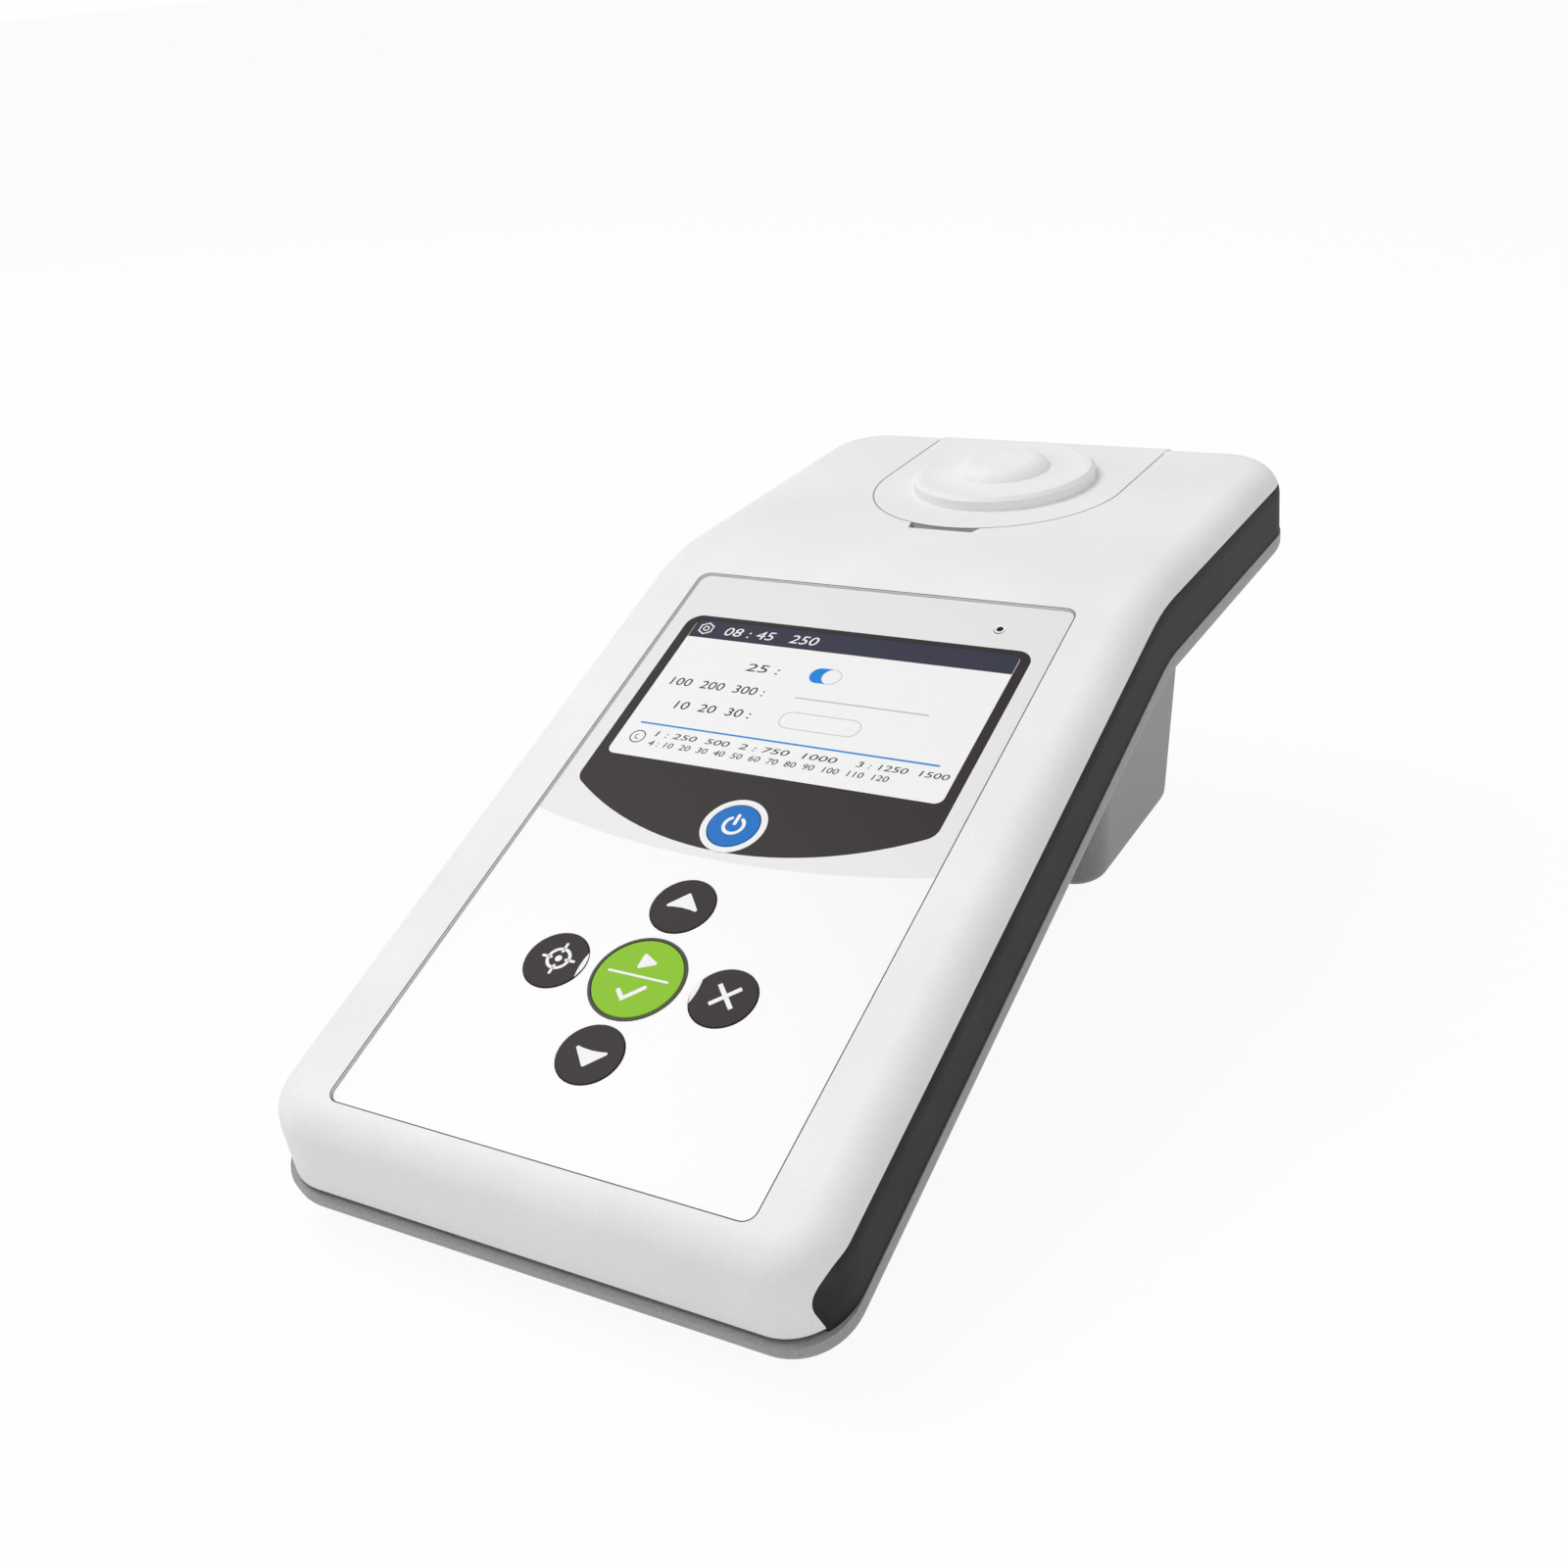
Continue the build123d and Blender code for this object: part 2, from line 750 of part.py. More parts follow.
# Keys: cap in its hole, flange under the wall, stem over its switch
key_top = sheet_top - key_proud
flange_top = cover_top_wall + key_flange_gap
flange_bottom = flange_top + key_flange_height
dome_top = board_top - switch_height - switch_dome_height
stem_bottom = dome_top - switch_gap
for key_name, key_place in key_places.items():
    with BuildPart() as key:
        with BuildSketch(keypad.offset(-flange_top)):
            add(key_outline(key_name))
        extrude(amount=flange_top - key_top)
        chamfer(key.faces().sort_by(Axis(keypad.origin, keypad.z_dir))[-1].edges(), key_edge)
        with BuildSketch(keypad.offset(-flange_bottom)):
            add(key_outline(key_name, key_flange))
        extrude(amount=key_flange_height)
        with BuildSketch(keypad.offset(-stem_bottom)):
            with Locations(key_place):
                Circle(key_stem)
        extrude(amount=stem_bottom - flange_bottom)
    key.part.label = key_name
    export_step(key.part, "parts/" + key_name + ".step")

# Main board with the switches, other components and its screws
with BuildPart() as main_board:
    with BuildSketch(keypad.offset(-board_bottom)):
        with Locations((0, (board_front + board_rear) / 2)):
            RectangleRounded(2 * board_half, board_rear - board_front, panel_corner)
        with Locations(*both_sides(front_screw_place)):
            Circle(boss_radius + board_boss_gap, mode=Mode.SUBTRACT)
        for post_u in board_post_u:
            with Locations(*both_sides((board_post_x, post_u))):
                Circle(board_screw_radius + board_hole_play, mode=Mode.SUBTRACT)
    extrude(amount=board_thickness)
main_board.part.label = "main_board"
export_step(main_board.part, "parts/main_board.step")

with BuildPart() as key_switches:
    with BuildSketch(keypad.offset(-board_top)):
        with Locations(*key_places.values()):
            Rectangle(switch_size, switch_size)
    extrude(amount=switch_height)
    with BuildSketch(keypad.offset(-board_top + switch_height)):
        with Locations(*key_places.values()):
            Circle(switch_dome_radius)
    extrude(amount=switch_dome_height)
key_switches.part.label = "key_switches"
export_step(key_switches.part, "parts/key_switches.step")

with BuildPart() as board_components:
    for chip_place, chip_size in board_chips:
        with BuildSketch(keypad.offset(-board_bottom)):
            with Locations(chip_place):
                Rectangle(chip_size[0], chip_size[1])
        extrude(amount=-chip_size[2])
    with BuildSketch(keypad.offset(-board_top)):
        with Locations(indicator_place):
            Rectangle(2 * indicator_radius, 2 * indicator_radius)
    extrude(amount=indicator_lamp_height)
board_components.part.label = "board_components"
export_step(board_components.part, "parts/board_components.step")

with BuildPart() as buzzer:
    with BuildSketch(keypad.offset(-board_bottom)):
        with Locations(buzzer_place):
            Circle(buzzer_radius)
    extrude(amount=-buzzer_height)
    with BuildSketch(keypad.offset(-board_bottom - buzzer_height)):
        with Locations(buzzer_place):
            Circle(buzzer_radius / 6)
    extrude(amount=buzzer_height / 4, mode=Mode.SUBTRACT)
buzzer.part.label = "buzzer"
export_step(buzzer.part, "parts/buzzer.step")

with BuildPart() as board_screws:
    for post_u in board_post_u:
        with BuildSketch(keypad.offset(-board_bottom)):
            with Locations(*both_sides((board_post_x, post_u))):
                Circle(board_screw_head)
        extrude(amount=-board_screw_head_height)
        with BuildSketch(keypad.offset(-board_bottom)):
            with Locations(*both_sides((board_post_x, post_u))):
                Circle(board_screw_radius)
        extrude(amount=board_thickness + board_screw_grip)
board_screws.part.label = "board_screws"
export_step(board_screws.part, "parts/board_screws.step")

# Lower shell: lip, tub and sample chamber housing
def chamber_block(inset, top):
    """Tapered block of the chamber housing, narrower towards the back, or the room inside it."""
    front_y = on_deck(chamber_front, -bend_height)[0]
    plan_taper = math.degrees(math.atan((chamber_front_half - chamber_rear_half) / chamber_length))
    walls = [((0, front_y), (0, -1)), ((0, front_y + chamber_length), (0, 1))]
    for side in (-1, 1):
        walls.append(((side * chamber_front_half, front_y), (side * cos_of(plan_taper), sin_of(plan_taper))))
    with BuildPart() as block:
        with BuildSketch(Plane.XY.offset(chamber_foot + inset)):
            with Locations((0, front_y + chamber_length / 2)):
                Rectangle(4 * chamber_front_half, 2 * chamber_length)
        extrude(amount=top - chamber_foot - inset)
        for place, way in walls:
            wall = Plane(
                origin=(*place, chamber_foot),
                z_dir=(way[0] * cos_of(chamber_draft), way[1] * cos_of(chamber_draft), -sin_of(chamber_draft)),
            )
            split(bisect_by=wall.offset(-inset), keep=Keep.BOTTOM)
        fillet(block.edges().filter_by(Plane.XY, reverse=True), chamber_corner - inset)
        fillet(block.faces().sort_by(Axis.Z)[0].edges(), chamber_rounding - inset / 2)
    return block.part


tub_outside = case_slab(
    tub_inset, lip_bottom - lip_floor, tub_depth, (tub_corner, tub_corner), tub_rounding
)
tub_room_corner = tub_corner - case_wall
with BuildPart() as bottom_case:
    add(case_slab(0.0, cover_depth, lip_bottom, (front_corner, rear_corner), lip_rounding))
    add(tub_outside)
    add(chamber_block(0.0, chamber_top))
    with BuildSketch(Plane.XY.offset(heel_height)):
        with Locations((0, on_keypad(0, 0)[0])):
            Rectangle(2 * body_width, keypad_length)
    extrude(amount=-tub_depth, mode=Mode.SUBTRACT)

    # Tongue that stands inside the upper shell's wall at the seam
    tongue_inset = cover_wall + tongue_clearance
    add(cover_slab(tongue_inset, cover_depth - tongue_height, lip_bottom - lip_floor))

    # Hollow it: the room behind the lip, in the tub and in the chamber
    add(cover_slab(
        tongue_inset + tongue_thickness, cover_depth - tongue_height - 1, lip_bottom - lip_floor
    ), mode=Mode.SUBTRACT)
    add(case_slab(
        tub_inset + case_wall, cover_depth - tongue_height - 1, floor_inside, (tub_room_corner, tub_room_corner)
    ), mode=Mode.SUBTRACT)
    add(chamber_block(chamber_wall, chamber_top + tub_corner), mode=Mode.SUBTRACT)

    # Pad round the battery door, walls of the battery tray, bosses for the door's screws
    door_middle = (0, (door_front + door_rear) / 2)
    tray_middle = (0, (tray_front + tray_rear) / 2)
    with BuildSketch(keypad.offset(-floor_inside)):
        with Locations(door_middle):
            RectangleRounded(
                2 * (door_half + door_pad_margin), door_rear - door_front + 2 * door_pad_margin, tub_corner
            )
    extrude(amount=door_pad)
    with BuildSketch(keypad.offset(-floor_inside)):
        with Locations(tray_middle):
            Rectangle(2 * (tray_half + tray_wall), tray_length + 2 * tray_wall)
    extrude(amount=floor_inside - tray_top)
    with BuildSketch(keypad.offset(-floor_inside + door_pad)):
        with Locations(*door_screw_places):
            Circle(door_boss_radius)
    extrude(amount=door_boss_height)
    with BuildSketch(keypad.offset(-tub_depth)):
        with Locations(tray_middle):
            Rectangle(2 * tray_half, tray_length)
    extrude(amount=tub_depth - tray_top + 1, mode=Mode.SUBTRACT)
    with BuildSketch(keypad.offset(-tub_depth)):
        with Locations(door_middle):
            RectangleRounded(2 * door_half, door_rear - door_front, door_corner)
    extrude(amount=case_wall, mode=Mode.SUBTRACT)
    with BuildSketch(keypad.offset(-floor_inside)):
        with Locations(*door_screw_places):
            Circle(door_screw_radius + screw_play)
    extrude(amount=door_pad + door_boss_height, mode=Mode.SUBTRACT)

    # Bosses and sunk seats for the case screws
    for plane, place in ((keypad, front_screw_place), (deck, rear_screw_place)):
        with BuildSketch(plane.offset(-floor_inside)):
            with Locations(*both_sides(place)):
                Circle(case_boss_radius)
        extrude(amount=floor_inside - cover_depth)
        with BuildSketch(plane.offset(-tub_depth)):
            with Locations(*both_sides(place)):
                Circle(screw_head + screw_sink_gap)
        extrude(amount=tub_depth - screw_seat_depth, mode=Mode.SUBTRACT)
        with BuildSketch(plane.offset(-screw_seat_depth)):
            with Locations(*both_sides(place)):
                Circle(screw_radius + screw_play)
        extrude(amount=screw_seat_depth - cover_depth + 1, mode=Mode.SUBTRACT)

    # Ribs across the floor and the rest under the sample well
    with BuildSketch(keypad.offset(-floor_inside)):
        for rib_u in case_rib_places:
            with Locations((0, rib_u)):
                Rectangle(2 * (lip_half - tub_inset - case_wall) + 1, case_rib_thickness)
    extrude(amount=case_rib_height)
    with BuildSketch(well_axis.offset(-well_depth - well_floor)):
        Circle(well_rest_radius)
    extrude(amount=-well_rest_height)
bottom_case.part.label = "bottom_case"
export_step(bottom_case.part, "parts/bottom_case.step")

# Battery door, lifted straight off once its two captive screws are undone
with BuildPart() as battery_door:
    with BuildSketch(keypad.offset(-tub_depth)):
        with Locations(door_middle):
            RectangleRounded(
                2 * (door_half - door_gap), door_rear - door_front - 2 * door_gap, door_corner - door_gap
            )
    extrude(amount=case_wall - door_seat_gap)
    with BuildSketch(keypad.offset(-floor_inside - door_seat_gap)):
        with Locations(tray_middle):
            Rectangle(2 * (tray_half - door_rib_inset), tray_length - 2 * door_rib_inset)
            Rectangle(
                2 * (tray_half - 2 * door_rib_inset), tray_length - 4 * door_rib_inset, mode=Mode.SUBTRACT
            )
    extrude(amount=door_rib_height)
    with BuildSketch(keypad.offset(-tub_depth)):
        with Locations(*door_screw_places):
            Circle(door_screw_head + door_screw_play)
    extrude(amount=door_screw_head_height, mode=Mode.SUBTRACT)
    with BuildSketch(keypad.offset(-tub_depth)):
        with Locations(*door_screw_places):
            Circle(door_screw_radius + door_screw_play)
    extrude(amount=case_wall, mode=Mode.SUBTRACT)

    # Grooves for the thumb near the front end
    with BuildSketch(keypad.offset(-tub_depth)):
        with Locations((0, door_front + door_groove_inset)):
            with GridLocations(0, door_groove_pitch, 1, door_groove_count):
                SlotOverall(door_groove_length, door_groove_width)
    extrude(amount=door_groove_depth, mode=Mode.SUBTRACT)
battery_door.part.label = "battery_door"
export_step(battery_door.part, "parts/battery_door.step")

with BuildPart() as battery_door_screws:
    with BuildSketch(keypad.offset(-tub_depth)):
        with Locations(*door_screw_places):
            Circle(door_screw_head)
    extrude(amount=door_screw_head_height)
    with BuildSketch(keypad.offset(-tub_depth)):
        with Locations(*door_screw_places):
            Circle(door_screw_radius)
    extrude(amount=door_screw_head_height + door_screw_length)
    with BuildSketch(keypad.offset(-tub_depth)):
        with Locations(*door_screw_places):
            Rectangle(2 * door_screw_head, screw_slot_width)
    extrude(amount=screw_slot_depth, mode=Mode.SUBTRACT)
battery_door_screws.part.label = "battery_door_screws"
export_step(battery_door_screws.part, "parts/battery_door_screws.step")


# Batteries lie side by side, every second one turned round
def cell_x(number):
    return (number - (cell_count - 1) / 2) * cell_pitch


def nub_end(number):
    """Wall that a cell's nub faces, and the direction from that wall into the tray."""
    return (tray_rear, -1) if number % 2 == 0 else (tray_front, 1)


def leaf_end(number):
    """Wall that a cell's flat end faces, and the direction from that wall into the tray."""
    return (tray_front, 1) if number % 2 == 0 else (tray_rear, -1)


keypad_front_view = Plane(
    origin=keypad.origin, x_dir=(1, 0, 0), z_dir=(0, -cos_of(keypad_tilt), -sin_of(keypad_tilt))
)
with BuildPart() as batteries:
    for number in range(cell_count):
        wall, way = nub_end(number)
        nub_start = wall + way * contact_thickness
        with BuildSketch(keypad_front_view.offset(-nub_start)):
            with Locations((cell_x(number), -cell_depth)):
                Circle(cell_nub_radius)
        extrude(amount=-way * (cell_nub + cell_length / 2))
        with BuildSketch(keypad_front_view.offset(-nub_start - way * cell_nub)):
            with Locations((cell_x(number), -cell_depth)):
                Circle(cell_radius)
        extrude(amount=-way * cell_length)
batteries.part.label = "batteries"
export_step(batteries.part, "parts/batteries.step")

with BuildPart() as battery_contacts:
    for number in range(cell_count):
        wall, way = nub_end(number)
        with BuildSketch(keypad_front_view.offset(-wall)):
            with Locations((cell_x(number), -cell_depth)):
                Rectangle(contact_size, contact_size)
        extrude(amount=-way * contact_thickness)
battery_contacts.part.label = "battery_contacts"
export_step(battery_contacts.part, "parts/battery_contacts.step")

with BuildPart() as battery_springs:
    for number in range(cell_count):
        wall, way = leaf_end(number)
        back = wall + way * leaf_thickness / 2
        nose = wall + way * (leaf_room - leaf_thickness)
        tip = wall + way * leaf_room * 0.6
        with BuildSketch(keypad_side.offset(cell_x(number) - leaf_width / 2)):
            with BuildLine():
                Polyline(
                    (back, -cell_depth + contact_size / 2), (back, -cell_depth - contact_size / 2),
                    (nose, -cell_depth), (tip, -cell_depth + contact_size / 3),
                )
            trace(line_width=leaf_thickness)
        extrude(amount=leaf_width)
battery_springs.part.label = "battery_springs"
export_step(battery_springs.part, "parts/battery_springs.step")

# Screws that join the shells
with BuildPart() as case_screws:
    for plane, place in ((keypad, front_screw_place), (deck, rear_screw_place)):
        with BuildSketch(plane.offset(-screw_seat_depth)):
            with Locations(*both_sides(place)):
                Circle(screw_head)
        extrude(amount=-screw_head_height)
        with BuildSketch(plane.offset(-screw_seat_depth)):
            with Locations(*both_sides(place)):
                Circle(screw_radius)
        extrude(amount=screw_seat_depth - screw_tip_depth)
        with BuildSketch(plane.offset(-screw_seat_depth - screw_head_height)):
            with Locations(*both_sides(place)):
                RegularPolygon(screw_hex_radius, 6)
        extrude(amount=screw_slot_depth * 2, mode=Mode.SUBTRACT)
case_screws.part.label = "case_screws"
export_step(case_screws.part, "parts/case_screws.step")

# Lid: flat tongue with a hinge barrel along its rear edge
with BuildPart() as lid_panel:
    with BuildSketch(deck.offset(-lid_thickness)):
        add(lid_outline())
    extrude(amount=lid_thickness)
    with BuildSketch(hinge_axis):
        Circle(hinge_radius)
    extrude(amount=lid_half, both=True)
    with BuildSketch(hinge_axis):
        Circle(pin_radius + pin_running)
    extrude(amount=lid_half + 1, both=True, mode=Mode.SUBTRACT)
    with BuildSketch(well_axis.offset(-lid_thickness)):
        Circle(lid_open_hole)
    extrude(amount=lid_thickness, mode=Mode.SUBTRACT)

    # Scoop under the front edge, where a fingernail lifts the lid
    with BuildSketch(Plane.YZ.offset(slot_left + slot_flare)):
        with BuildLine():
            Polyline(
                on_deck(lid_front - 1, -scoop_lip), on_deck(lid_front + scoop_depth, -lid_thickness),
                on_deck(lid_front + scoop_depth, -pan_top), on_deck(lid_front - 1, -pan_top), close=True,
            )
        make_face()
    extrude(amount=slot_right - slot_left - 2 * slot_flare, mode=Mode.SUBTRACT)
lid_panel.part.label = "lid_panel"
export_step(lid_panel.part, "parts/lid_panel.step")

with BuildPart() as hinge_pin:
    with BuildSketch(hinge_axis):
        Circle(pin_radius)
    extrude(amount=lid_half + hinge_lug - pin_end_gap, both=True)
hinge_pin.part.label = "hinge_pin"
export_step(hinge_pin.part, "parts/hinge_pin.step")

# Round cap: rim, shallow dish and middle boss, hollow below over the sample
with BuildPart() as lid_cap:
    spigot = lid_open_hole - cap_spigot_gap
    rim_inner = cap_radius - cap_rim_width
    boss_shoulder = (cap_dish_height + cap_boss_height) / 2 + cap_rim_edge
    with BuildSketch(well_section):
        with BuildLine():
            Polyline(
                (0, cap_boss_height - cap_wall), (cap_boss_radius, cap_boss_height - cap_wall),
                (cap_boss_foot, cap_dish_height - cap_wall), (spigot - cap_wall, cap_dish_height - cap_wall),
                (spigot - cap_wall, -lid_thickness), (spigot, -lid_thickness), (spigot, 0), (cap_radius, 0),
                (cap_radius, cap_rim_height - cap_rim_edge), (cap_radius - cap_rim_edge, cap_rim_height),
                (rim_inner, cap_rim_height),
            )
            ThreePointArc(
                (rim_inner, cap_rim_height), (cap_dish_radius, cap_dish_height),
                (cap_boss_foot, cap_rim_height),
            )
            ThreePointArc(
                (cap_boss_foot, cap_rim_height), ((cap_boss_foot + cap_boss_radius) / 2, boss_shoulder),
                (cap_boss_radius, cap_boss_height),
            )
            Polyline((cap_boss_radius, cap_boss_height), (0, cap_boss_height), (0, cap_boss_height - cap_wall))
        make_face()
    revolve(axis=well_line)
lid_cap.part.label = "lid_cap"
export_step(lid_cap.part, "parts/lid_cap.step")

# Sample well: black tube with a flange under the pan and two collars for the light path
well_outer = well_bore + well_wall
neck_top = pan_top + well_neck_drop
with BuildPart() as sample_well:
    with BuildSketch(well_section):
        with BuildLine():
            Polyline(
                (0, -well_depth - well_floor), (well_outer, -well_depth - well_floor),
                (well_outer, -pan_bottom - well_flange_height), (well_flange, -pan_bottom - well_flange_height),
                (well_flange, -pan_bottom), (well_outer, -pan_bottom), (well_outer, -neck_top),
                (0, -neck_top), close=True,
            )
        make_face()
    revolve(axis=well_line)
    with BuildSketch(light_axis):
        Circle(collar_radius)
    extrude(amount=collar_end, both=True)
    with BuildPart(mode=Mode.PRIVATE) as well_room:
        with BuildSketch(well_axis.offset(-well_depth)):
            Circle(well_bore)
        extrude(amount=well_depth)
        fillet(well_room.edges().sort_by(Axis.Z)[0], well_bottom_rounding)
    add(well_room.part, mode=Mode.SUBTRACT)
    with BuildSketch(light_axis):
        Circle(light_window)
    extrude(amount=collar_end, both=True, mode=Mode.SUBTRACT)
    for side in (-1, 1):
        with BuildSketch(light_axis.offset(side * collar_step)):
            Circle(collar_bore)
        extrude(amount=side * (collar_end - collar_step), mode=Mode.SUBTRACT)
sample_well.part.label = "sample_well"
export_step(sample_well.part, "parts/sample_well.step")

with BuildPart() as well_seal_ring:
    with BuildSketch(well_axis.offset(-pan_top - seal_height + seal_proud)):
        Circle(seal_outer)
        Circle(seal_inner, mode=Mode.SUBTRACT)
    extrude(amount=seal_height)
well_seal_ring.part.label = "well_seal_ring"
export_step(well_seal_ring.part, "parts/well_seal_ring.step")

# Light path: lamp and lens on the left, filter and photodiode on the right
optic_radius = collar_bore - optic_play
with BuildPart() as light_source:
    with BuildSketch(light_axis.offset(-collar_end)):
        Circle(optic_radius)
    extrude(amount=lamp_flange)
    with BuildSketch(light_axis.offset(-collar_end)):
        Circle(lamp_radius)
    extrude(amount=lamp_length)
    fillet(light_source.edges().sort_by(Axis.X)[-1], lamp_radius - lamp_tip_flat)
light_source.part.label = "light_source"
export_step(light_source.part, "parts/light_source.step")

with BuildPart() as source_lens:
    with BuildSketch(light_section):
        with BuildLine():
            Polyline(
                (-collar_step - lens_edge - lens_crown, 0), (-collar_step, 0), (-collar_step, optic_radius),
                (-collar_step - lens_edge, optic_radius),
            )
            RadiusArc(
                (-collar_step - lens_edge, optic_radius), (-collar_step - lens_edge - lens_crown, 0),
                -(optic_radius ** 2 + lens_crown ** 2) / (2 * lens_crown),
            )
        make_face()
    revolve(axis=light_line)
source_lens.part.label = "source_lens"
export_step(source_lens.part, "parts/source_lens.step")

with BuildPart() as optical_filter:
    with BuildSketch(light_axis.offset(collar_step)):
        Circle(optic_radius)
    extrude(amount=filter_thickness)
optical_filter.part.label = "optical_filter"
export_step(optical_filter.part, "parts/optical_filter.step")

with BuildPart() as photodiode:
    with BuildSketch(light_axis.offset(collar_end)):
        Circle(optic_radius)
    extrude(amount=-lamp_flange)
    with BuildSketch(light_axis.offset(collar_end)):
        Circle(lamp_radius)
    extrude(amount=-diode_length)
photodiode.part.label = "photodiode"
export_step(photodiode.part, "parts/photodiode.step")

for board_name, side in (("source_board", -1), ("detector_board", 1)):
    with BuildPart() as sensor_board:
        with BuildSketch(light_axis.offset(side * collar_end)):
            Rectangle(sensor_board_width, sensor_board_height)
        extrude(amount=side * board_thickness)
    sensor_board.part.label = board_name
    export_step(sensor_board.part, "parts/" + board_name + ".step")

# Rubber feet: wedges under the front of the tub, thin pads under the chamber
with BuildPart() as front_feet:
    foot_y = on_keypad(front_foot_place[1], -tub_depth)[0]
    with BuildSketch(Plane.XY):
        with Locations(*both_sides((front_foot_place[0], foot_y))):
            Circle(front_foot_radius)
    extrude(amount=front_foot_blank)
    add(tub_outside, mode=Mode.SUBTRACT)
front_feet.part.label = "front_feet"
export_step(front_feet.part, "parts/front_feet.step")

with BuildPart() as chamber_feet:
    chamber_y = on_deck(chamber_front, -bend_height)[0]
    with BuildSketch(Plane.XY):
        for foot_y in (chamber_y + chamber_foot_inset, chamber_y + chamber_length - chamber_foot_inset):
            with Locations(*both_sides((chamber_foot_x, foot_y))):
                Circle(chamber_foot_radius)
    extrude(amount=chamber_foot)
chamber_feet.part.label = "chamber_feet"
export_step(chamber_feet.part, "parts/chamber_feet.step")
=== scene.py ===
# %% [markdown]
# A portable water hardness meter
#
# The instrument is a white moulded slab that bends once, with a printed front panel, a colour display, six
# keys and a hinged lid over the sample well. Its solids arrive ready from the frame, at their real size.
# This notebook dresses them: it gives each surface its finish, draws the prints on the panel and the
# display, sets the lights and places the camera. All lengths in Blender are metres, so millimetres are
# written with `mm`.

# %% Load the frame
import json
import math

import bmesh
import bpy
import numpy as np
from mathutils import Matrix, Vector

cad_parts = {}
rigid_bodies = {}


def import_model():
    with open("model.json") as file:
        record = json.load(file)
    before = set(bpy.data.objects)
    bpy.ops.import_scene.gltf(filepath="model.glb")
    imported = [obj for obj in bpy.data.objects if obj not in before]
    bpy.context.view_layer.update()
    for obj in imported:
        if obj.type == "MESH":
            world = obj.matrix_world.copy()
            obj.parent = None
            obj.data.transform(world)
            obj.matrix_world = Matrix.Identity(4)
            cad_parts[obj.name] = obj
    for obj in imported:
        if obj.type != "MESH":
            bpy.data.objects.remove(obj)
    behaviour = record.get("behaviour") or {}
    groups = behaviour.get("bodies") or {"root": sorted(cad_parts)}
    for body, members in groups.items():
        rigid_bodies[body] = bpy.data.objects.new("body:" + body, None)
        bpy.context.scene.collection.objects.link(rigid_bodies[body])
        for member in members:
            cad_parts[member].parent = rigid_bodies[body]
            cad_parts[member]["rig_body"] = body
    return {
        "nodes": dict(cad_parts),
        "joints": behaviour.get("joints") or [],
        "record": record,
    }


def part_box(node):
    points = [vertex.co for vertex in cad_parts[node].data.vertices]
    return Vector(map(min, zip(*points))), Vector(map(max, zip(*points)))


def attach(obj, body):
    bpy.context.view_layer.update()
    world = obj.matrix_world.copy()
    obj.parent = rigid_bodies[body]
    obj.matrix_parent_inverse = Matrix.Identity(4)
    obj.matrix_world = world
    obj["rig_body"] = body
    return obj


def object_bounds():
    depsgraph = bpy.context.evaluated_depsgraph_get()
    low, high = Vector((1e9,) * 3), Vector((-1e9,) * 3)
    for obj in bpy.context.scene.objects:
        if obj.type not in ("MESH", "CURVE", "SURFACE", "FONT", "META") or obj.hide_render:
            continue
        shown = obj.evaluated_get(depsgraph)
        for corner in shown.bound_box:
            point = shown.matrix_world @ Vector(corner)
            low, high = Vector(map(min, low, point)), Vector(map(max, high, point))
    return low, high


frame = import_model()
nodes = frame["nodes"]
mm = 0.001
cad_box = [list(corner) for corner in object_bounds()]
box_in_mm = [[round(value / mm, 1) for value in corner] for corner in cad_box]
print("solids:", len(nodes), "box in mm:", box_in_mm)

# %% [markdown]
# The front panel lies on a slope, and everything printed is placed on it. A small coordinate system of its
# own makes that easy: x to the right, u up the slope from the panel's lower edge, and lift straight out of
# it. The slope comes from the direction in which a key is pressed, and the panel's middle from the sheet's
# own box. A thin plate's box gives its length too, because both of its sides are the same length and
# thickness, turned.

# %% The panel's own coordinates
press = next(joint["axis"] for joint in frame["joints"] if joint["name"] == "power_key_press")
outward = -Vector(press).normalized()
across = Vector((1.0, 0.0, 0.0))
upward = outward.cross(across)
sheet_low, sheet_high = (Vector(corner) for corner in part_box("keypad_overlay"))
sheet_size = sheet_high - sheet_low
slope_sin, slope_cos = upward.z, upward.y
turned = slope_cos ** 2 - slope_sin ** 2
sheet_length = (sheet_size.y * slope_cos - sheet_size.z * slope_sin) / turned
sheet_thickness = (sheet_size.z * slope_cos - sheet_size.y * slope_sin) / turned
sheet_face = (sheet_low + sheet_high) / 2 + outward * sheet_thickness / 2
print("slope:", round(math.degrees(math.asin(slope_sin)), 2), "degrees, sheet:",
      round(sheet_length / mm, 2), "x", round(sheet_thickness / mm, 2), "mm")


def on_panel(x, u, lift=0.0):
    """A place on the panel in the frame: x and u in mm from the middle of its lower edge, lift in mm."""
    return sheet_face + across * x * mm + upward * (u * mm - sheet_length / 2) + outward * lift * mm


def panel_matrix(x, u, lift):
    """Turns a flat drawing so that it lies on the panel, with its origin at a place."""
    turn = Matrix((across, upward, outward)).transposed().to_4x4()
    return Matrix.Translation(on_panel(x, u, lift)) @ turn


def lift_of(node):
    """How far a solid's front stands out of the sheet, in mm: negative where it lies deeper."""
    mesh = nodes[node].data
    points = np.empty(len(mesh.vertices) * 3)
    mesh.vertices.foreach_get("co", points)
    heights = (points.reshape(-1, 3) - np.array(sheet_face)) @ np.array(outward)
    return heights.max() / mm


print("keys stand out by", round(lift_of("up_key"), 3), "mm")
print("the display stands out by", round(lift_of("display_screen"), 3), "mm")

# %% [markdown]
# The lid's deck slopes differently. Its straight-up direction is the axis of the sample well, which the
# frame gives as a mount, and the lid's highest face lies in it, because the lid is flush with the deck.

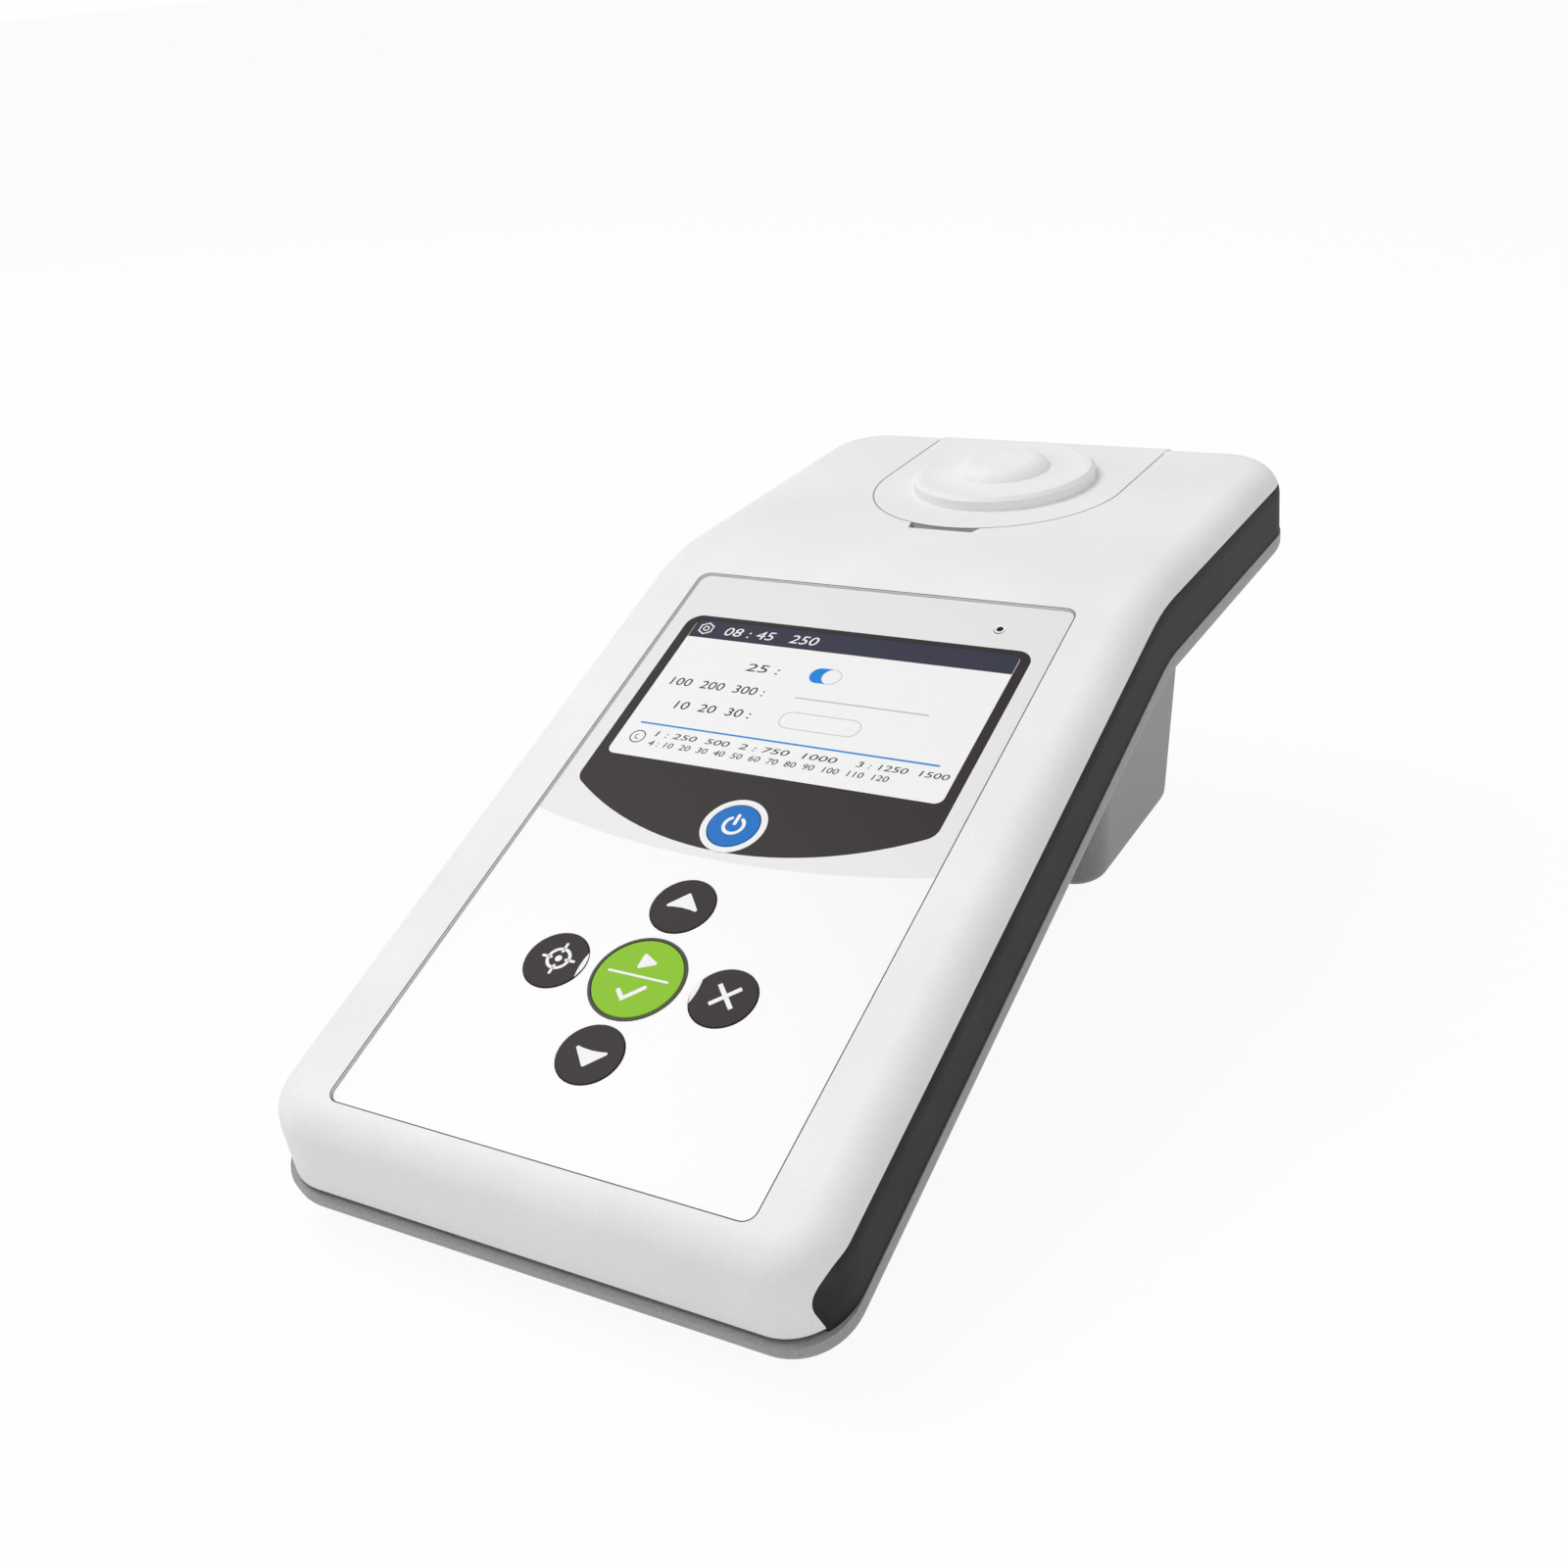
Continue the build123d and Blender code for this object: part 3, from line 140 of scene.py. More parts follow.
# %% The deck's own coordinates
well = next(mount for mount in frame["record"]["mounts"] if mount["name"] == "sample_well_bore")
deck_up = Vector(well["axis"]).normalized()
deck_back = deck_up.cross(across)
well_place = Vector(well["pos_m"])
lid_points = np.empty(len(nodes["lid_panel"].data.vertices) * 3)
nodes["lid_panel"].data.vertices.foreach_get("co", lid_points)
lid_points = lid_points.reshape(-1, 3) - np.array(well_place)
deck_face = well_place + deck_up * float((lid_points @ np.array(deck_up)).max())
lid_front = float((lid_points @ np.array(deck_back)).min()) / mm
lid_rear = float((lid_points @ np.array(deck_back)).max()) / mm
lid_half = float(lid_points[:, 0].max()) / mm
print("the lid reaches from", round(lid_front, 2), "to", round(lid_rear, 2), "mm about the well")


def deck_matrix(x, v, lift):
    """Turns a flat drawing so that it lies on the deck. v is in mm from the well towards the hinge."""
    turn = Matrix((across, deck_back, deck_up)).transposed().to_4x4()
    return Matrix.Translation(deck_face + across * x * mm + deck_back * v * mm + deck_up * lift * mm) @ turn


# %% [markdown]
# Every finish is a small node tree. Most plastics differ in four things only: their colour, how rough they
# are, the size of their grain and how deep it is. One function builds that tree, and the special finishes
# add to it. The grain is a noise in Object coordinates, which are metres from the frame's origin, so a
# grain of a quarter of a millimetre needs a scale of 1 / 0.00025. Numbers that are the same all over are
# typed into the shader's own sockets, and only what varies over the surface is linked.

# %% A helper for node trees
def linked(tree, kind, inputs=None, **settings):
    """Adds a node, sets its properties and fills its inputs with values or with other nodes' outputs."""
    node = tree.nodes.new(kind)
    for key, value in settings.items():
        setattr(node, key, value)
    for key, value in (inputs or {}).items():
        if isinstance(value, bpy.types.NodeSocket):
            tree.links.new(value, node.inputs[key])
        else:
            node.inputs[key].default_value = value
    return node


def shade(value):
    """A grey as red, green, blue and alpha."""
    return (value, value, value, 1.0)


def new_finish(name, **sockets):
    """A material with one Principled shader, whose uniform values are set by name."""
    material = bpy.data.materials.new(name)
    material.use_nodes = True
    tree = material.node_tree
    shader = tree.nodes["Principled BSDF"]
    for key, value in sockets.items():
        shader.inputs[key.replace("_", " ")].default_value = value
    return material, tree, shader


def grain_bump(tree, shader, grain, depth, detail=2.0):
    """Fine moulded grain: a noise of a size in metres, as bumps of a depth in metres. Returns the noise."""
    place = linked(tree, "ShaderNodeTexCoord")
    noise = linked(tree, "ShaderNodeTexNoise", {
        "Vector": place.outputs["Object"], "Scale": 1 / grain, "Detail": detail, "Roughness": 0.6,
    })
    bump = linked(tree, "ShaderNodeBump", {
        "Height": noise.outputs["Fac"], "Distance": depth, "Strength": 0.6,
    })
    tree.links.new(bump.outputs["Normal"], shader.inputs["Normal"])
    return noise


def tinted(tree, shader, factor, low, high, start=0.3, end=0.7):
    """Lets the base colour drift between two shades with a factor such as a noise."""
    ramp = linked(tree, "ShaderNodeValToRGB", {"Fac": factor})
    ramp.color_ramp.elements[0].position = start
    ramp.color_ramp.elements[0].color = low
    ramp.color_ramp.elements[1].position = end
    ramp.color_ramp.elements[1].color = high
    tree.links.new(ramp.outputs["Color"], shader.inputs["Base Color"])
    return ramp


def roughened(tree, shader, factor, low, high):
    """Lets the roughness drift between two values with a factor."""
    spread = linked(tree, "ShaderNodeMapRange", {"Value": factor, "To Min": low, "To Max": high})
    tree.links.new(spread.outputs["Result"], shader.inputs["Roughness"])


print("finish helpers ready")

# %% [markdown]
# The housing, the lid and its cap are one white plastic with a fine spark-eroded grain. A broad, very faint
# noise makes the white drift a little, as a large moulding does, and the fine grain makes the highlight
# soft.

# %% White housing plastic
def white_plastic(name, base, grain, depth):
    material, tree, shader = new_finish(name, IOR=1.46)
    fine = grain_bump(tree, shader, grain, depth)
    place = linked(tree, "ShaderNodeTexCoord")
    broad = linked(tree, "ShaderNodeTexNoise", {
        "Vector": place.outputs["Object"], "Scale": 45.0, "Detail": 3.0,
    })
    both = linked(tree, "ShaderNodeMath", {
        0: fine.outputs["Fac"], 1: broad.outputs["Fac"],
    }, operation="ADD")
    half = linked(tree, "ShaderNodeMath", {0: both.outputs["Value"], 1: 0.5}, operation="MULTIPLY")
    tinted(tree, shader, half.outputs["Value"], shade(base - 0.05), shade(base + 0.012), 0.36, 0.62)
    roughened(tree, shader, fine.outputs["Fac"], 0.46, 0.6)
    return material


def paint_seam_shade(material, depth):
    """Paints shade near black on what lies deeper than a depth below both slopes: the shadowed groove where
    the shells join.
    """
    tree = material.node_tree
    shader = tree.nodes["Principled BSDF"]
    place = linked(tree, "ShaderNodeTexCoord")
    depths = []
    for normal, face in ((outward, sheet_face + outward * recess_lift * mm), (deck_up, deck_face)):
        height = linked(tree, "ShaderNodeVectorMath", {
            0: place.outputs["Object"], 1: tuple(normal),
        }, operation="DOT_PRODUCT")
        depths.append(linked(tree, "ShaderNodeMath", {
            0: face.dot(normal), 1: height.outputs["Value"],
        }, operation="SUBTRACT"))
    nearest = linked(tree, "ShaderNodeMath", {
        0: depths[0].outputs["Value"], 1: depths[1].outputs["Value"],
    }, operation="MINIMUM")
    deep = linked(tree, "ShaderNodeMath", {0: nearest.outputs["Value"], 1: depth}, operation="GREATER_THAN")
    white = shader.inputs["Base Color"].links[0].from_socket
    mix = linked(tree, "ShaderNodeMix", {
        0: deep.outputs["Value"], 6: white, 7: shade(0.01),
    }, data_type="RGBA")
    tree.links.new(mix.outputs[2], shader.inputs["Base Color"])


recess_lift = 0.4
seam_depth = 12.8
housing_white = white_plastic("housing_white", 0.865, 0.34 * mm, 0.05 * mm)
lid_white = white_plastic("lid_white", 0.865, 0.34 * mm, 0.05 * mm)
cap_white = white_plastic("cap_white", 0.88, 0.6 * mm, 0.012 * mm)
# Painted shade: below the seam depth the white housing turns near black, standing in for the shadow in the
# groove between the shells.
paint_seam_shade(housing_white, seam_depth * mm)
print("white plastics:", housing_white.name, lid_white.name, cap_white.name)

# %% [markdown]
# The side grips are a soft black rubber. Real grips are never evenly black: they pick up dust and handling,
# so a coarse cloudy noise lifts the grey in patches and the roughness with it.

# %% Black grip rubber
def grip_rubber():
    material, tree, shader = new_finish("grip_rubber", IOR=1.5)
    shader.inputs["Specular IOR Level"].default_value = 0.25
    grain_bump(tree, shader, 0.5 * mm, 0.06 * mm, 4.0)
    place = linked(tree, "ShaderNodeTexCoord")
    cloud = linked(tree, "ShaderNodeTexNoise", {
        "Vector": place.outputs["Object"], "Scale": 130.0, "Detail": 6.0, "Roughness": 0.7,
    })
    tinted(tree, shader, cloud.outputs["Fac"], shade(0.007), shade(0.028), 0.38, 0.68)
    roughened(tree, shader, cloud.outputs["Fac"], 0.5, 0.75)
    return material


black_rubber = grip_rubber()
print("grip finish:", black_rubber.name)

# %% [markdown]
# The lower shell is a mid-grey plastic with a coarser grain than the white one.

# %% Grey case plastic
def grey_plastic():
    material, tree, shader = new_finish("case_grey", IOR=1.46)
    fine = grain_bump(tree, shader, 0.45 * mm, 0.06 * mm, 3.0)
    tinted(tree, shader, fine.outputs["Fac"], shade(0.275), shade(0.345), 0.35, 0.65)
    roughened(tree, shader, fine.outputs["Fac"], 0.42, 0.58)
    return material


case_grey = grey_plastic()
print("lower shell:", case_grey.name)

# %% [markdown]
# The front sheet is printed: a very pale grey field behind the display ends in a long arc, and the rest is
# white. The print is part of the material. A subtraction moves the object's coordinates to the arc's
# centre, which lies in the sheet's face, and the distance from that centre decides between the two inks.
# The arc's radius follows from three places on it: the middle and one end, which lie on a circle that is
# symmetrical about x = 0.

# %% Printed front sheet
print_middle_u = 58.0
print_edge_x, print_edge_u = 37.0, 62.2
print_rise = print_edge_u - print_middle_u
print_blur = 0.06
print_radius = (print_edge_x ** 2 + print_rise ** 2) / (2 * print_rise)


def printed_sheet():
    material, tree, shader = new_finish("front_sheet_print", IOR=1.49)
    shader.inputs["Roughness"].default_value = 0.38
    place = linked(tree, "ShaderNodeTexCoord")
    centre = on_panel(0.0, print_middle_u + print_radius)
    moved = linked(tree, "ShaderNodeVectorMath", {
        0: place.outputs["Object"], 1: tuple(centre),
    }, operation="SUBTRACT")
    reach = linked(tree, "ShaderNodeVectorMath", {0: moved.outputs["Vector"]}, operation="LENGTH")
    edge = linked(tree, "ShaderNodeMapRange", {
        "Value": reach.outputs["Value"],
        "From Min": (print_radius - print_blur) * mm, "From Max": (print_radius + print_blur) * mm,
    })
    inks = linked(tree, "ShaderNodeMix", {
        0: edge.outputs["Result"], 6: shade(0.78), 7: shade(0.9),
    }, data_type="RGBA")
    tree.links.new(inks.outputs[2], shader.inputs["Base Color"])
    noise = linked(tree, "ShaderNodeTexNoise", {
        "Vector": place.outputs["Object"], "Scale": 2500.0, "Detail": 2.0,
    })
    bump = linked(tree, "ShaderNodeBump", {
        "Height": noise.outputs["Fac"], "Distance": 0.01 * mm, "Strength": 0.4,
    })
    tree.links.new(bump.outputs["Normal"], shader.inputs["Normal"])
    return material


sheet_print = printed_sheet()
print("printed arc radius:", round(print_radius, 1), "mm")

# %% [markdown]
# Inks, key plastics, metals and the parts inside need simpler trees. Each is a colour with a fine grain, so
# one function and a list of values make them all. The values are linear: a printed colour that is seen as
# #3e3938 is written as its linear equivalent, and the small `ink` function does that sum.

# %% Inks, keys and small parts
def ink(code):
    """A colour as seen, written like "3e3938", as linear red, green, blue and alpha."""
    seen = [int(code[place:place + 2], 16) / 255 for place in (0, 2, 4)]
    linear = [value / 12.92 if value <= 0.04045 else ((value + 0.055) / 1.055) ** 2.4 for value in seen]
    return (*linear, 1.0)


def plain_finish(name, colour, roughness, grain, depth, drift=0.12, **sockets):
    """A colour that drifts a little with its own fine grain."""
    material, tree, shader = new_finish(name, **sockets)
    shader.inputs["Specular IOR Level"].default_value = 0.14
    noise = grain_bump(tree, shader, grain, depth)
    darker = tuple(channel * (1 - drift) for channel in colour[:3]) + (1.0,)
    tinted(tree, shader, noise.outputs["Fac"], darker, colour, 0.3, 0.62)
    shader.inputs["Roughness"].default_value = roughness
    return material


finishes = {
    "surround_black": plain_finish("surround_black", ink("302a29"), 0.4, 0.4 * mm, 0.006 * mm),
    "key_dark": plain_finish("key_dark", ink("322c2b"), 0.45, 0.3 * mm, 0.02 * mm),
    "key_green": plain_finish("key_green", ink("8bc51e"), 0.4, 0.3 * mm, 0.02 * mm, 0.05),
    "key_blue": plain_finish("key_blue", ink("0f72c6"), 0.4, 0.3 * mm, 0.02 * mm, 0.06),
    "ring_white": plain_finish("ring_white", shade(0.89), 0.4, 0.3 * mm, 0.01 * mm, 0.03),
    "ring_dark": plain_finish("ring_dark", ink("4a4a48"), 0.4, 0.3 * mm, 0.01 * mm),
    "display_glass": plain_finish("display_glass", shade(0.9), 0.22, 2.0 * mm, 0.001 * mm, 0.01, IOR=1.5),
    "indicator_dark": plain_finish("indicator_dark", ink("201c1c"), 0.2, 0.3 * mm, 0.002 * mm),
    "mark_white": plain_finish("mark_white", shade(0.9), 0.4, 0.3 * mm, 0.004 * mm, 0.02),
    "mark_header": plain_finish("mark_header", ink("38384a"), 0.25, 0.5 * mm, 0.001 * mm, 0.03),
    # Painted shade: the next two finishes colour lines that stand in for the shadow in the sheet's and the
    # lid's gaps.
    "sheet_gap_painted_shade": plain_finish("sheet_gap_painted_shade", ink("4c4c4c"), 0.5, 0.5 * mm, 0.002 * mm),
    "lid_gap_painted_shade": plain_finish("lid_gap_painted_shade", ink("8c8c8c"), 0.5, 0.5 * mm, 0.002 * mm),
    "mark_blue": plain_finish("mark_blue", ink("1a86d9"), 0.25, 0.5 * mm, 0.001 * mm, 0.03),
    "mark_grey": plain_finish("mark_grey", ink("c4c4c8"), 0.25, 0.5 * mm, 0.001 * mm, 0.03),
    "mark_black": plain_finish("mark_black", ink("34343c"), 0.25, 0.5 * mm, 0.001 * mm, 0.03),
    "well_black": plain_finish("well_black", shade(0.012), 0.55, 0.4 * mm, 0.03 * mm, 0.3),
    "seal_rubber": plain_finish("seal_rubber", shade(0.02), 0.7, 0.5 * mm, 0.04 * mm, 0.4),
    "foot_rubber": plain_finish("foot_rubber", shade(0.025), 0.72, 0.6 * mm, 0.05 * mm, 0.4),
    "foam_black": plain_finish("foam_black", shade(0.02), 0.95, 0.25 * mm, 0.15 * mm, 0.6),
    "chip_black": plain_finish("chip_black", shade(0.018), 0.5, 0.2 * mm, 0.02 * mm, 0.3),
    "switch_black": plain_finish("switch_black", shade(0.03), 0.45, 0.3 * mm, 0.01 * mm, 0.3),
    "lamp_clear": plain_finish("lamp_clear", (0.75, 0.8, 0.84, 1.0), 0.08, 1.0 * mm, 0.002 * mm, 0.05),
    "backlight_white": plain_finish("backlight_white", (0.86, 0.85, 0.8, 1.0), 0.35, 1.0 * mm, 0.005 * mm),
}
print("small finishes:", len(finishes))

# %% [markdown]
# Metal is rough in one direction: brushing stretches the grain. Stretching the noise's coordinates does the
# same.

# %% Brushed metals
def brushed_metal(name, colour, roughness, stretch):
    material, tree, shader = new_finish(name, Metallic=1.0)
    place = linked(tree, "ShaderNodeTexCoord")
    turned_place = linked(tree, "ShaderNodeMapping", {"Vector": place.outputs["Object"], "Scale": stretch})
    lines = linked(tree, "ShaderNodeTexNoise", {
        "Vector": turned_place.outputs["Vector"], "Scale": 900.0, "Detail": 4.0,
    })
    darker = tuple(channel * 0.8 for channel in colour[:3]) + (1.0,)
    tinted(tree, shader, lines.outputs["Fac"], darker, colour, 0.35, 0.65)
    roughened(tree, shader, lines.outputs["Fac"], roughness - 0.08, roughness + 0.1)
    bump = linked(tree, "ShaderNodeBump", {
        "Height": lines.outputs["Fac"], "Distance": 0.01 * mm, "Strength": 0.5,
    })
    tree.links.new(bump.outputs["Normal"], shader.inputs["Normal"])
    return material


finishes["steel"] = brushed_metal("screw_steel", shade(0.55), 0.32, (1.0, 1.0, 0.1))
finishes["nickel"] = brushed_metal("contact_nickel", (0.7, 0.68, 0.62, 1.0), 0.25, (0.1, 1.0, 1.0))
finishes["tray_metal"] = brushed_metal("tray_metal", shade(0.62), 0.3, (0.1, 1.0, 1.0))
finishes["diode_can"] = brushed_metal("diode_can", shade(0.66), 0.22, (0.2, 1.0, 1.0))
print("metals: 4")

# %% [markdown]
# The optics are real glass, the boards are green lacquer with copper tracks under it, and the cells wear a
# printed sleeve with bare ends. Tracks are the edges of a brick pattern, and the sleeve is cut off by the
# cell's own length.

# %% Glass, circuit boards and cells
def optic_glass(name, colour):
    material, tree, shader = new_finish(name, Roughness=0.03, IOR=1.52)
    shader.inputs["Transmission Weight"].default_value = 1.0
    noise = grain_bump(tree, shader, 3.0 * mm, 0.001 * mm)
    paler = tuple(min(1.0, channel * 1.02) for channel in colour[:3]) + (1.0,)
    tinted(tree, shader, noise.outputs["Fac"], colour, paler)
    return material


def board_lacquer():
    material, tree, shader = new_finish("board_lacquer", Roughness=0.3, IOR=1.5)
    place = linked(tree, "ShaderNodeTexCoord")
    tracks = linked(tree, "ShaderNodeTexBrick", {
        "Vector": place.outputs["Object"], "Scale": 260.0, "Mortar Size": 0.08,
        "Color1": (0.006, 0.1, 0.035, 1.0), "Color2": (0.008, 0.12, 0.04, 1.0),
        "Mortar": (0.02, 0.22, 0.08, 1.0),
    })
    tree.links.new(tracks.outputs["Color"], shader.inputs["Base Color"])
    bump = linked(tree, "ShaderNodeBump", {
        "Height": tracks.outputs["Fac"], "Distance": 0.02 * mm, "Strength": 0.5,
    })
    tree.links.new(bump.outputs["Normal"], shader.inputs["Normal"])
    return material


def cell_sleeve():
    material, tree, shader = new_finish("cell_sleeve", IOR=1.5)
    low, high = (Vector(corner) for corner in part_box("batteries"))
    middle = (low + high) / 2
    half_length = ((high - low).y / 2 - (high - low).z / 2 * slope_sin) * slope_cos
    bare_end, band_start = 2.0 * mm, 9.0 * mm
    place = linked(tree, "ShaderNodeTexCoord")
    along = linked(tree, "ShaderNodeVectorMath", {
        0: place.outputs["Object"], 1: tuple(upward),
    }, operation="DOT_PRODUCT")
    from_middle = linked(tree, "ShaderNodeMath", {
        0: along.outputs["Value"], 1: middle.dot(upward),
    }, operation="SUBTRACT")
    reach = linked(tree, "ShaderNodeMath", {0: from_middle.outputs["Value"]}, operation="ABSOLUTE")
    bare = linked(tree, "ShaderNodeMath", {
        0: reach.outputs["Value"], 1: half_length - bare_end,
    }, operation="GREATER_THAN")
    band = linked(tree, "ShaderNodeMath", {
        0: from_middle.outputs["Value"], 1: band_start,
    }, operation="GREATER_THAN")
    sleeve = linked(tree, "ShaderNodeMix", {
        0: band.outputs["Value"], 6: ink("23262e"), 7: ink("b8bcc4"),
    }, data_type="RGBA")
    colour = linked(tree, "ShaderNodeMix", {
        0: bare.outputs["Value"], 6: sleeve.outputs[2], 7: shade(0.6),
    }, data_type="RGBA")
    tree.links.new(colour.outputs[2], shader.inputs["Base Color"])
    tree.links.new(bare.outputs["Value"], shader.inputs["Metallic"])
    shader.inputs["Roughness"].default_value = 0.3
    return material


finishes["lens_glass"] = optic_glass("lens_glass", (0.94, 0.97, 1.0, 1.0))
finishes["filter_glass"] = optic_glass("filter_glass", (0.9, 0.3, 0.12, 1.0))
finishes["board"] = board_lacquer()
finishes["cells"] = cell_sleeve()
print("inside finishes ready:", len(finishes))

# %% [markdown]
# Each solid keeps its mesh and gets its finish by name. A list of the nodes that share a finish is easier
# to read and to change than one line for each. The loop prints any node that was forgotten.

# %% Give every solid its finish
dressed = {
    housing_white: ["top_cover"],
    lid_white: ["lid_panel"],
    cap_white: ["lid_cap"],
    black_rubber: ["side_grip_left", "side_grip_right"],
    case_grey: ["bottom_case", "battery_door"],
    sheet_print: ["keypad_overlay"],
    finishes["surround_black"]: ["display_bezel"],
    finishes["display_glass"]: ["display_screen"],
    finishes["indicator_dark"]: ["indicator_lens"],
    finishes["key_dark"]: ["up_key", "down_key", "left_key", "right_key"],
    finishes["key_green"]: ["enter_key"],
    finishes["key_blue"]: ["power_key"],
    finishes["ring_white"]: ["power_key_ring"],
    finishes["ring_dark"]: ["enter_key_ring"],
    finishes["tray_metal"]: ["display_frame"],
    finishes["backlight_white"]: ["display_backlight"],
    finishes["foam_black"]: ["display_cushion"],
    finishes["board"]: ["main_board", "source_board", "detector_board"],
    finishes["switch_black"]: ["key_switches"],
    finishes["chip_black"]: ["board_components", "buzzer"],
    finishes["steel"]: ["board_screws", "battery_door_screws", "case_screws", "hinge_pin"],
    finishes["cells"]: ["batteries"],
    finishes["nickel"]: ["battery_contacts", "battery_springs"],
    finishes["well_black"]: ["sample_well"],
    finishes["seal_rubber"]: ["well_seal_ring"],
    finishes["lamp_clear"]: ["light_source"],
    finishes["lens_glass"]: ["source_lens"],
    finishes["filter_glass"]: ["optical_filter"],
    finishes["diode_can"]: ["photodiode"],
    finishes["foot_rubber"]: ["front_feet", "chamber_feet"],
}
for material, names in dressed.items():
    for name in names:
        nodes[name].data.materials.clear()
        nodes[name].data.materials.append(material)
print("without a finish:", sorted(set(nodes) - {name for names in dressed.values() for name in names}))

# %% [markdown]
# Prints are drawn as flat outlines in millimetres and filled by a 2D curve, which also understands holes:
# an outline inside another one is left open. The curve gets a thickness, becomes a mesh, and only then is
# turned onto the panel. Three small functions give all the outlines that the marks need: an arc, a rounded
# polygon and a stroke, which is a path with a width and round ends.

# %% Outlines for prints
def arc(centre, radius, start=0.0, end=360.0, steps=48):
    """Places along an arc, from one angle to another in degrees. A full turn leaves its last place out."""
    full = abs(end - start) >= 360
    count = steps if full else steps + 1
    angles = [math.radians(start + (end - start) * step / steps) for step in range(count)]
    return [(centre[0] + radius * math.cos(a), centre[1] + radius * math.sin(a)) for a in angles]


def rounded(corners, radius, steps=6):
    """A polygon whose corners are rounded, walked anticlockwise."""
    places = []
    count = len(corners)
    for index, corner in enumerate(corners):
        here = Vector(corner)
        before = (Vector(corners[index - 1]) - here).normalized()
        after = (Vector(corners[(index + 1) % count]) - here).normalized()
        half_angle = before.angle(after) / 2
        middle = here + (before + after).normalized() * radius / math.sin(half_angle)
        first = here + before * radius / math.tan(half_angle) - middle
        last = here + after * radius / math.tan(half_angle) - middle
        sweep = first.angle_signed(last)
        for step in range(steps + 1):
            turn = Matrix.Rotation(-sweep * step / steps, 2)
            places.append(tuple(middle + turn @ first))
    return places


def rounded_box(left, bottom, right, top, radius):
    return rounded([(left, bottom), (right, bottom), (right, top), (left, top)], radius)


def stroke(path, width, steps=8):
    """A path as a closed outline of a width, with round ends."""
    points = [Vector(place) for place in path]
    half = width / 2
    ways = [(b - a).normalized() for a, b in zip(points, points[1:])]
    sides = []
    for index in range(len(points)):
        way = ways[min(index, len(ways) - 1)] + ways[max(index - 1, 0)]
        way.normalize()
        bend = max(0.3, way.dot(ways[min(index, len(ways) - 1)]))
        sides.append(Vector((-way.y, way.x)) * half / bend)
    right_side = [tuple(point - side) for point, side in zip(points, sides)]
    left_side = [tuple(point + side) for point, side in zip(points, sides)]
    last = math.degrees(math.atan2(ways[-1].y, ways[-1].x))
    first = math.degrees(math.atan2(ways[0].y, ways[0].x))
    tip = arc(points[-1], half, last - 90, last + 90, steps)
    tail = arc(points[0], half, first + 90, first + 270, steps)
    return right_side[:-1] + tip + left_side[::-1][1:-1] + tail


def ring(centre, outer, inner):
    return [arc(centre, outer), arc(centre, inner)]


print("a stroke has", len(stroke([(0, 0), (1, 0)], 0.4)), "places")

# %% From outlines to a mesh
mark_thickness = 0.03
mark_sink = 0.01


def as_mesh(thing, name):
    """The evaluated form of a curve, a text or a modified object as a plain mesh object."""
    bpy.context.collection.objects.link(thing)
    graph = bpy.context.evaluated_depsgraph_get()
    mesh = bpy.data.meshes.new_from_object(thing.evaluated_get(graph))
    data = thing.data
    bpy.data.objects.remove(thing)
    if isinstance(data, bpy.types.Curve):
        bpy.data.curves.remove(data)
    mesh.name = name
    return mesh


def flat_mesh(name, outlines):
    """Closed outlines in mm, filled and given a thickness of the print."""
    curve = bpy.data.curves.new(name, "CURVE")
    curve.dimensions = "2D"
    curve.fill_mode = "BOTH"
    curve.extrude = mark_thickness / 2
    for outline in outlines:
        spline = curve.splines.new("POLY")
        spline.points.add(len(outline) - 1)
        for point, place in zip(spline.points, outline):
            point.co = (place[0], place[1], 0.0, 1.0)
        spline.use_cyclic_u = True
    return as_mesh(bpy.data.objects.new(name, curve), name)


def number_mesh(name, text, size, place, slant=0.0):
    """Plain numbers as a mesh, in mm, starting at a place."""
    curve = bpy.data.curves.new(name, "FONT")
    curve.body = text
    curve.size = size
    curve.shear = slant
    curve.extrude = mark_thickness / 2
    curve.resolution_u = 3
    mesh = as_mesh(bpy.data.objects.new(name, curve), name)
    mesh.transform(Matrix.Translation((place[0], place[1], 0.0)))
    return mesh


def lay_print(name, meshes, material, carrier, at=(0.0, 0.0), sink=mark_sink, place=None):
    """Joins flat meshes, lays them on a solid's front and lets them ride on its body in its finish slot."""
    joined = bmesh.new()
    for mesh in meshes:
        joined.from_mesh(mesh)
        bpy.data.meshes.remove(mesh)
    bmesh.ops.remove_doubles(joined, verts=joined.verts, dist=0.0005)
    bmesh.ops.recalc_face_normals(joined, faces=joined.faces)
    result = bpy.data.meshes.new(name)
    joined.to_mesh(result)
    joined.free()
    scale = Matrix.Scale(mm, 4)
    place = place or panel_matrix(at[0], at[1], lift_of(carrier) + mark_thickness / 2 - sink)
    result.transform(place @ scale)
    result.materials.append(material)
    piece = bpy.data.objects.new(name, result)
    bpy.context.collection.objects.link(piece)
    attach(piece, nodes[carrier]["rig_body"])
    print(name, len(result.polygons), "faces on", carrier)
    return piece


# %% [markdown]
# The six keys carry white marks. The power key has the usual broken ring and stroke, the arrows are
# triangles with a hollow base, and the other three get generic signs in place of words: a target for
# setting the zero, a cross for leaving, and a play triangle over a tick, with a line between them, for
# starting and accepting.

# %% Marks on the keys
key_places = {
    "power_key": (0.0, 65.6), "up_key": (0.0, 48.1), "enter_key": (0.0, 33.3),
    "down_key": (0.0, 18.7), "left_key": (-15.3, 33.3), "right_key": (15.3, 33.3),
}


def arrow(way):
    """Triangle with rounded corners and a hollow base. way is 1 up the slope and -1 down it."""
    tip, foot, base, hollow = 2.6, 3.3, 0.95, 0.45
    corners = [
        (-foot, -base), (-foot / 2, -base + 0.75 * hollow), (0.0, -base + hollow),
        (foot / 2, -base + 0.75 * hollow), (foot, -base), (0.0, tip),
    ]
    return [rounded([(way * x, way * y) for x, y in corners], 0.28)]


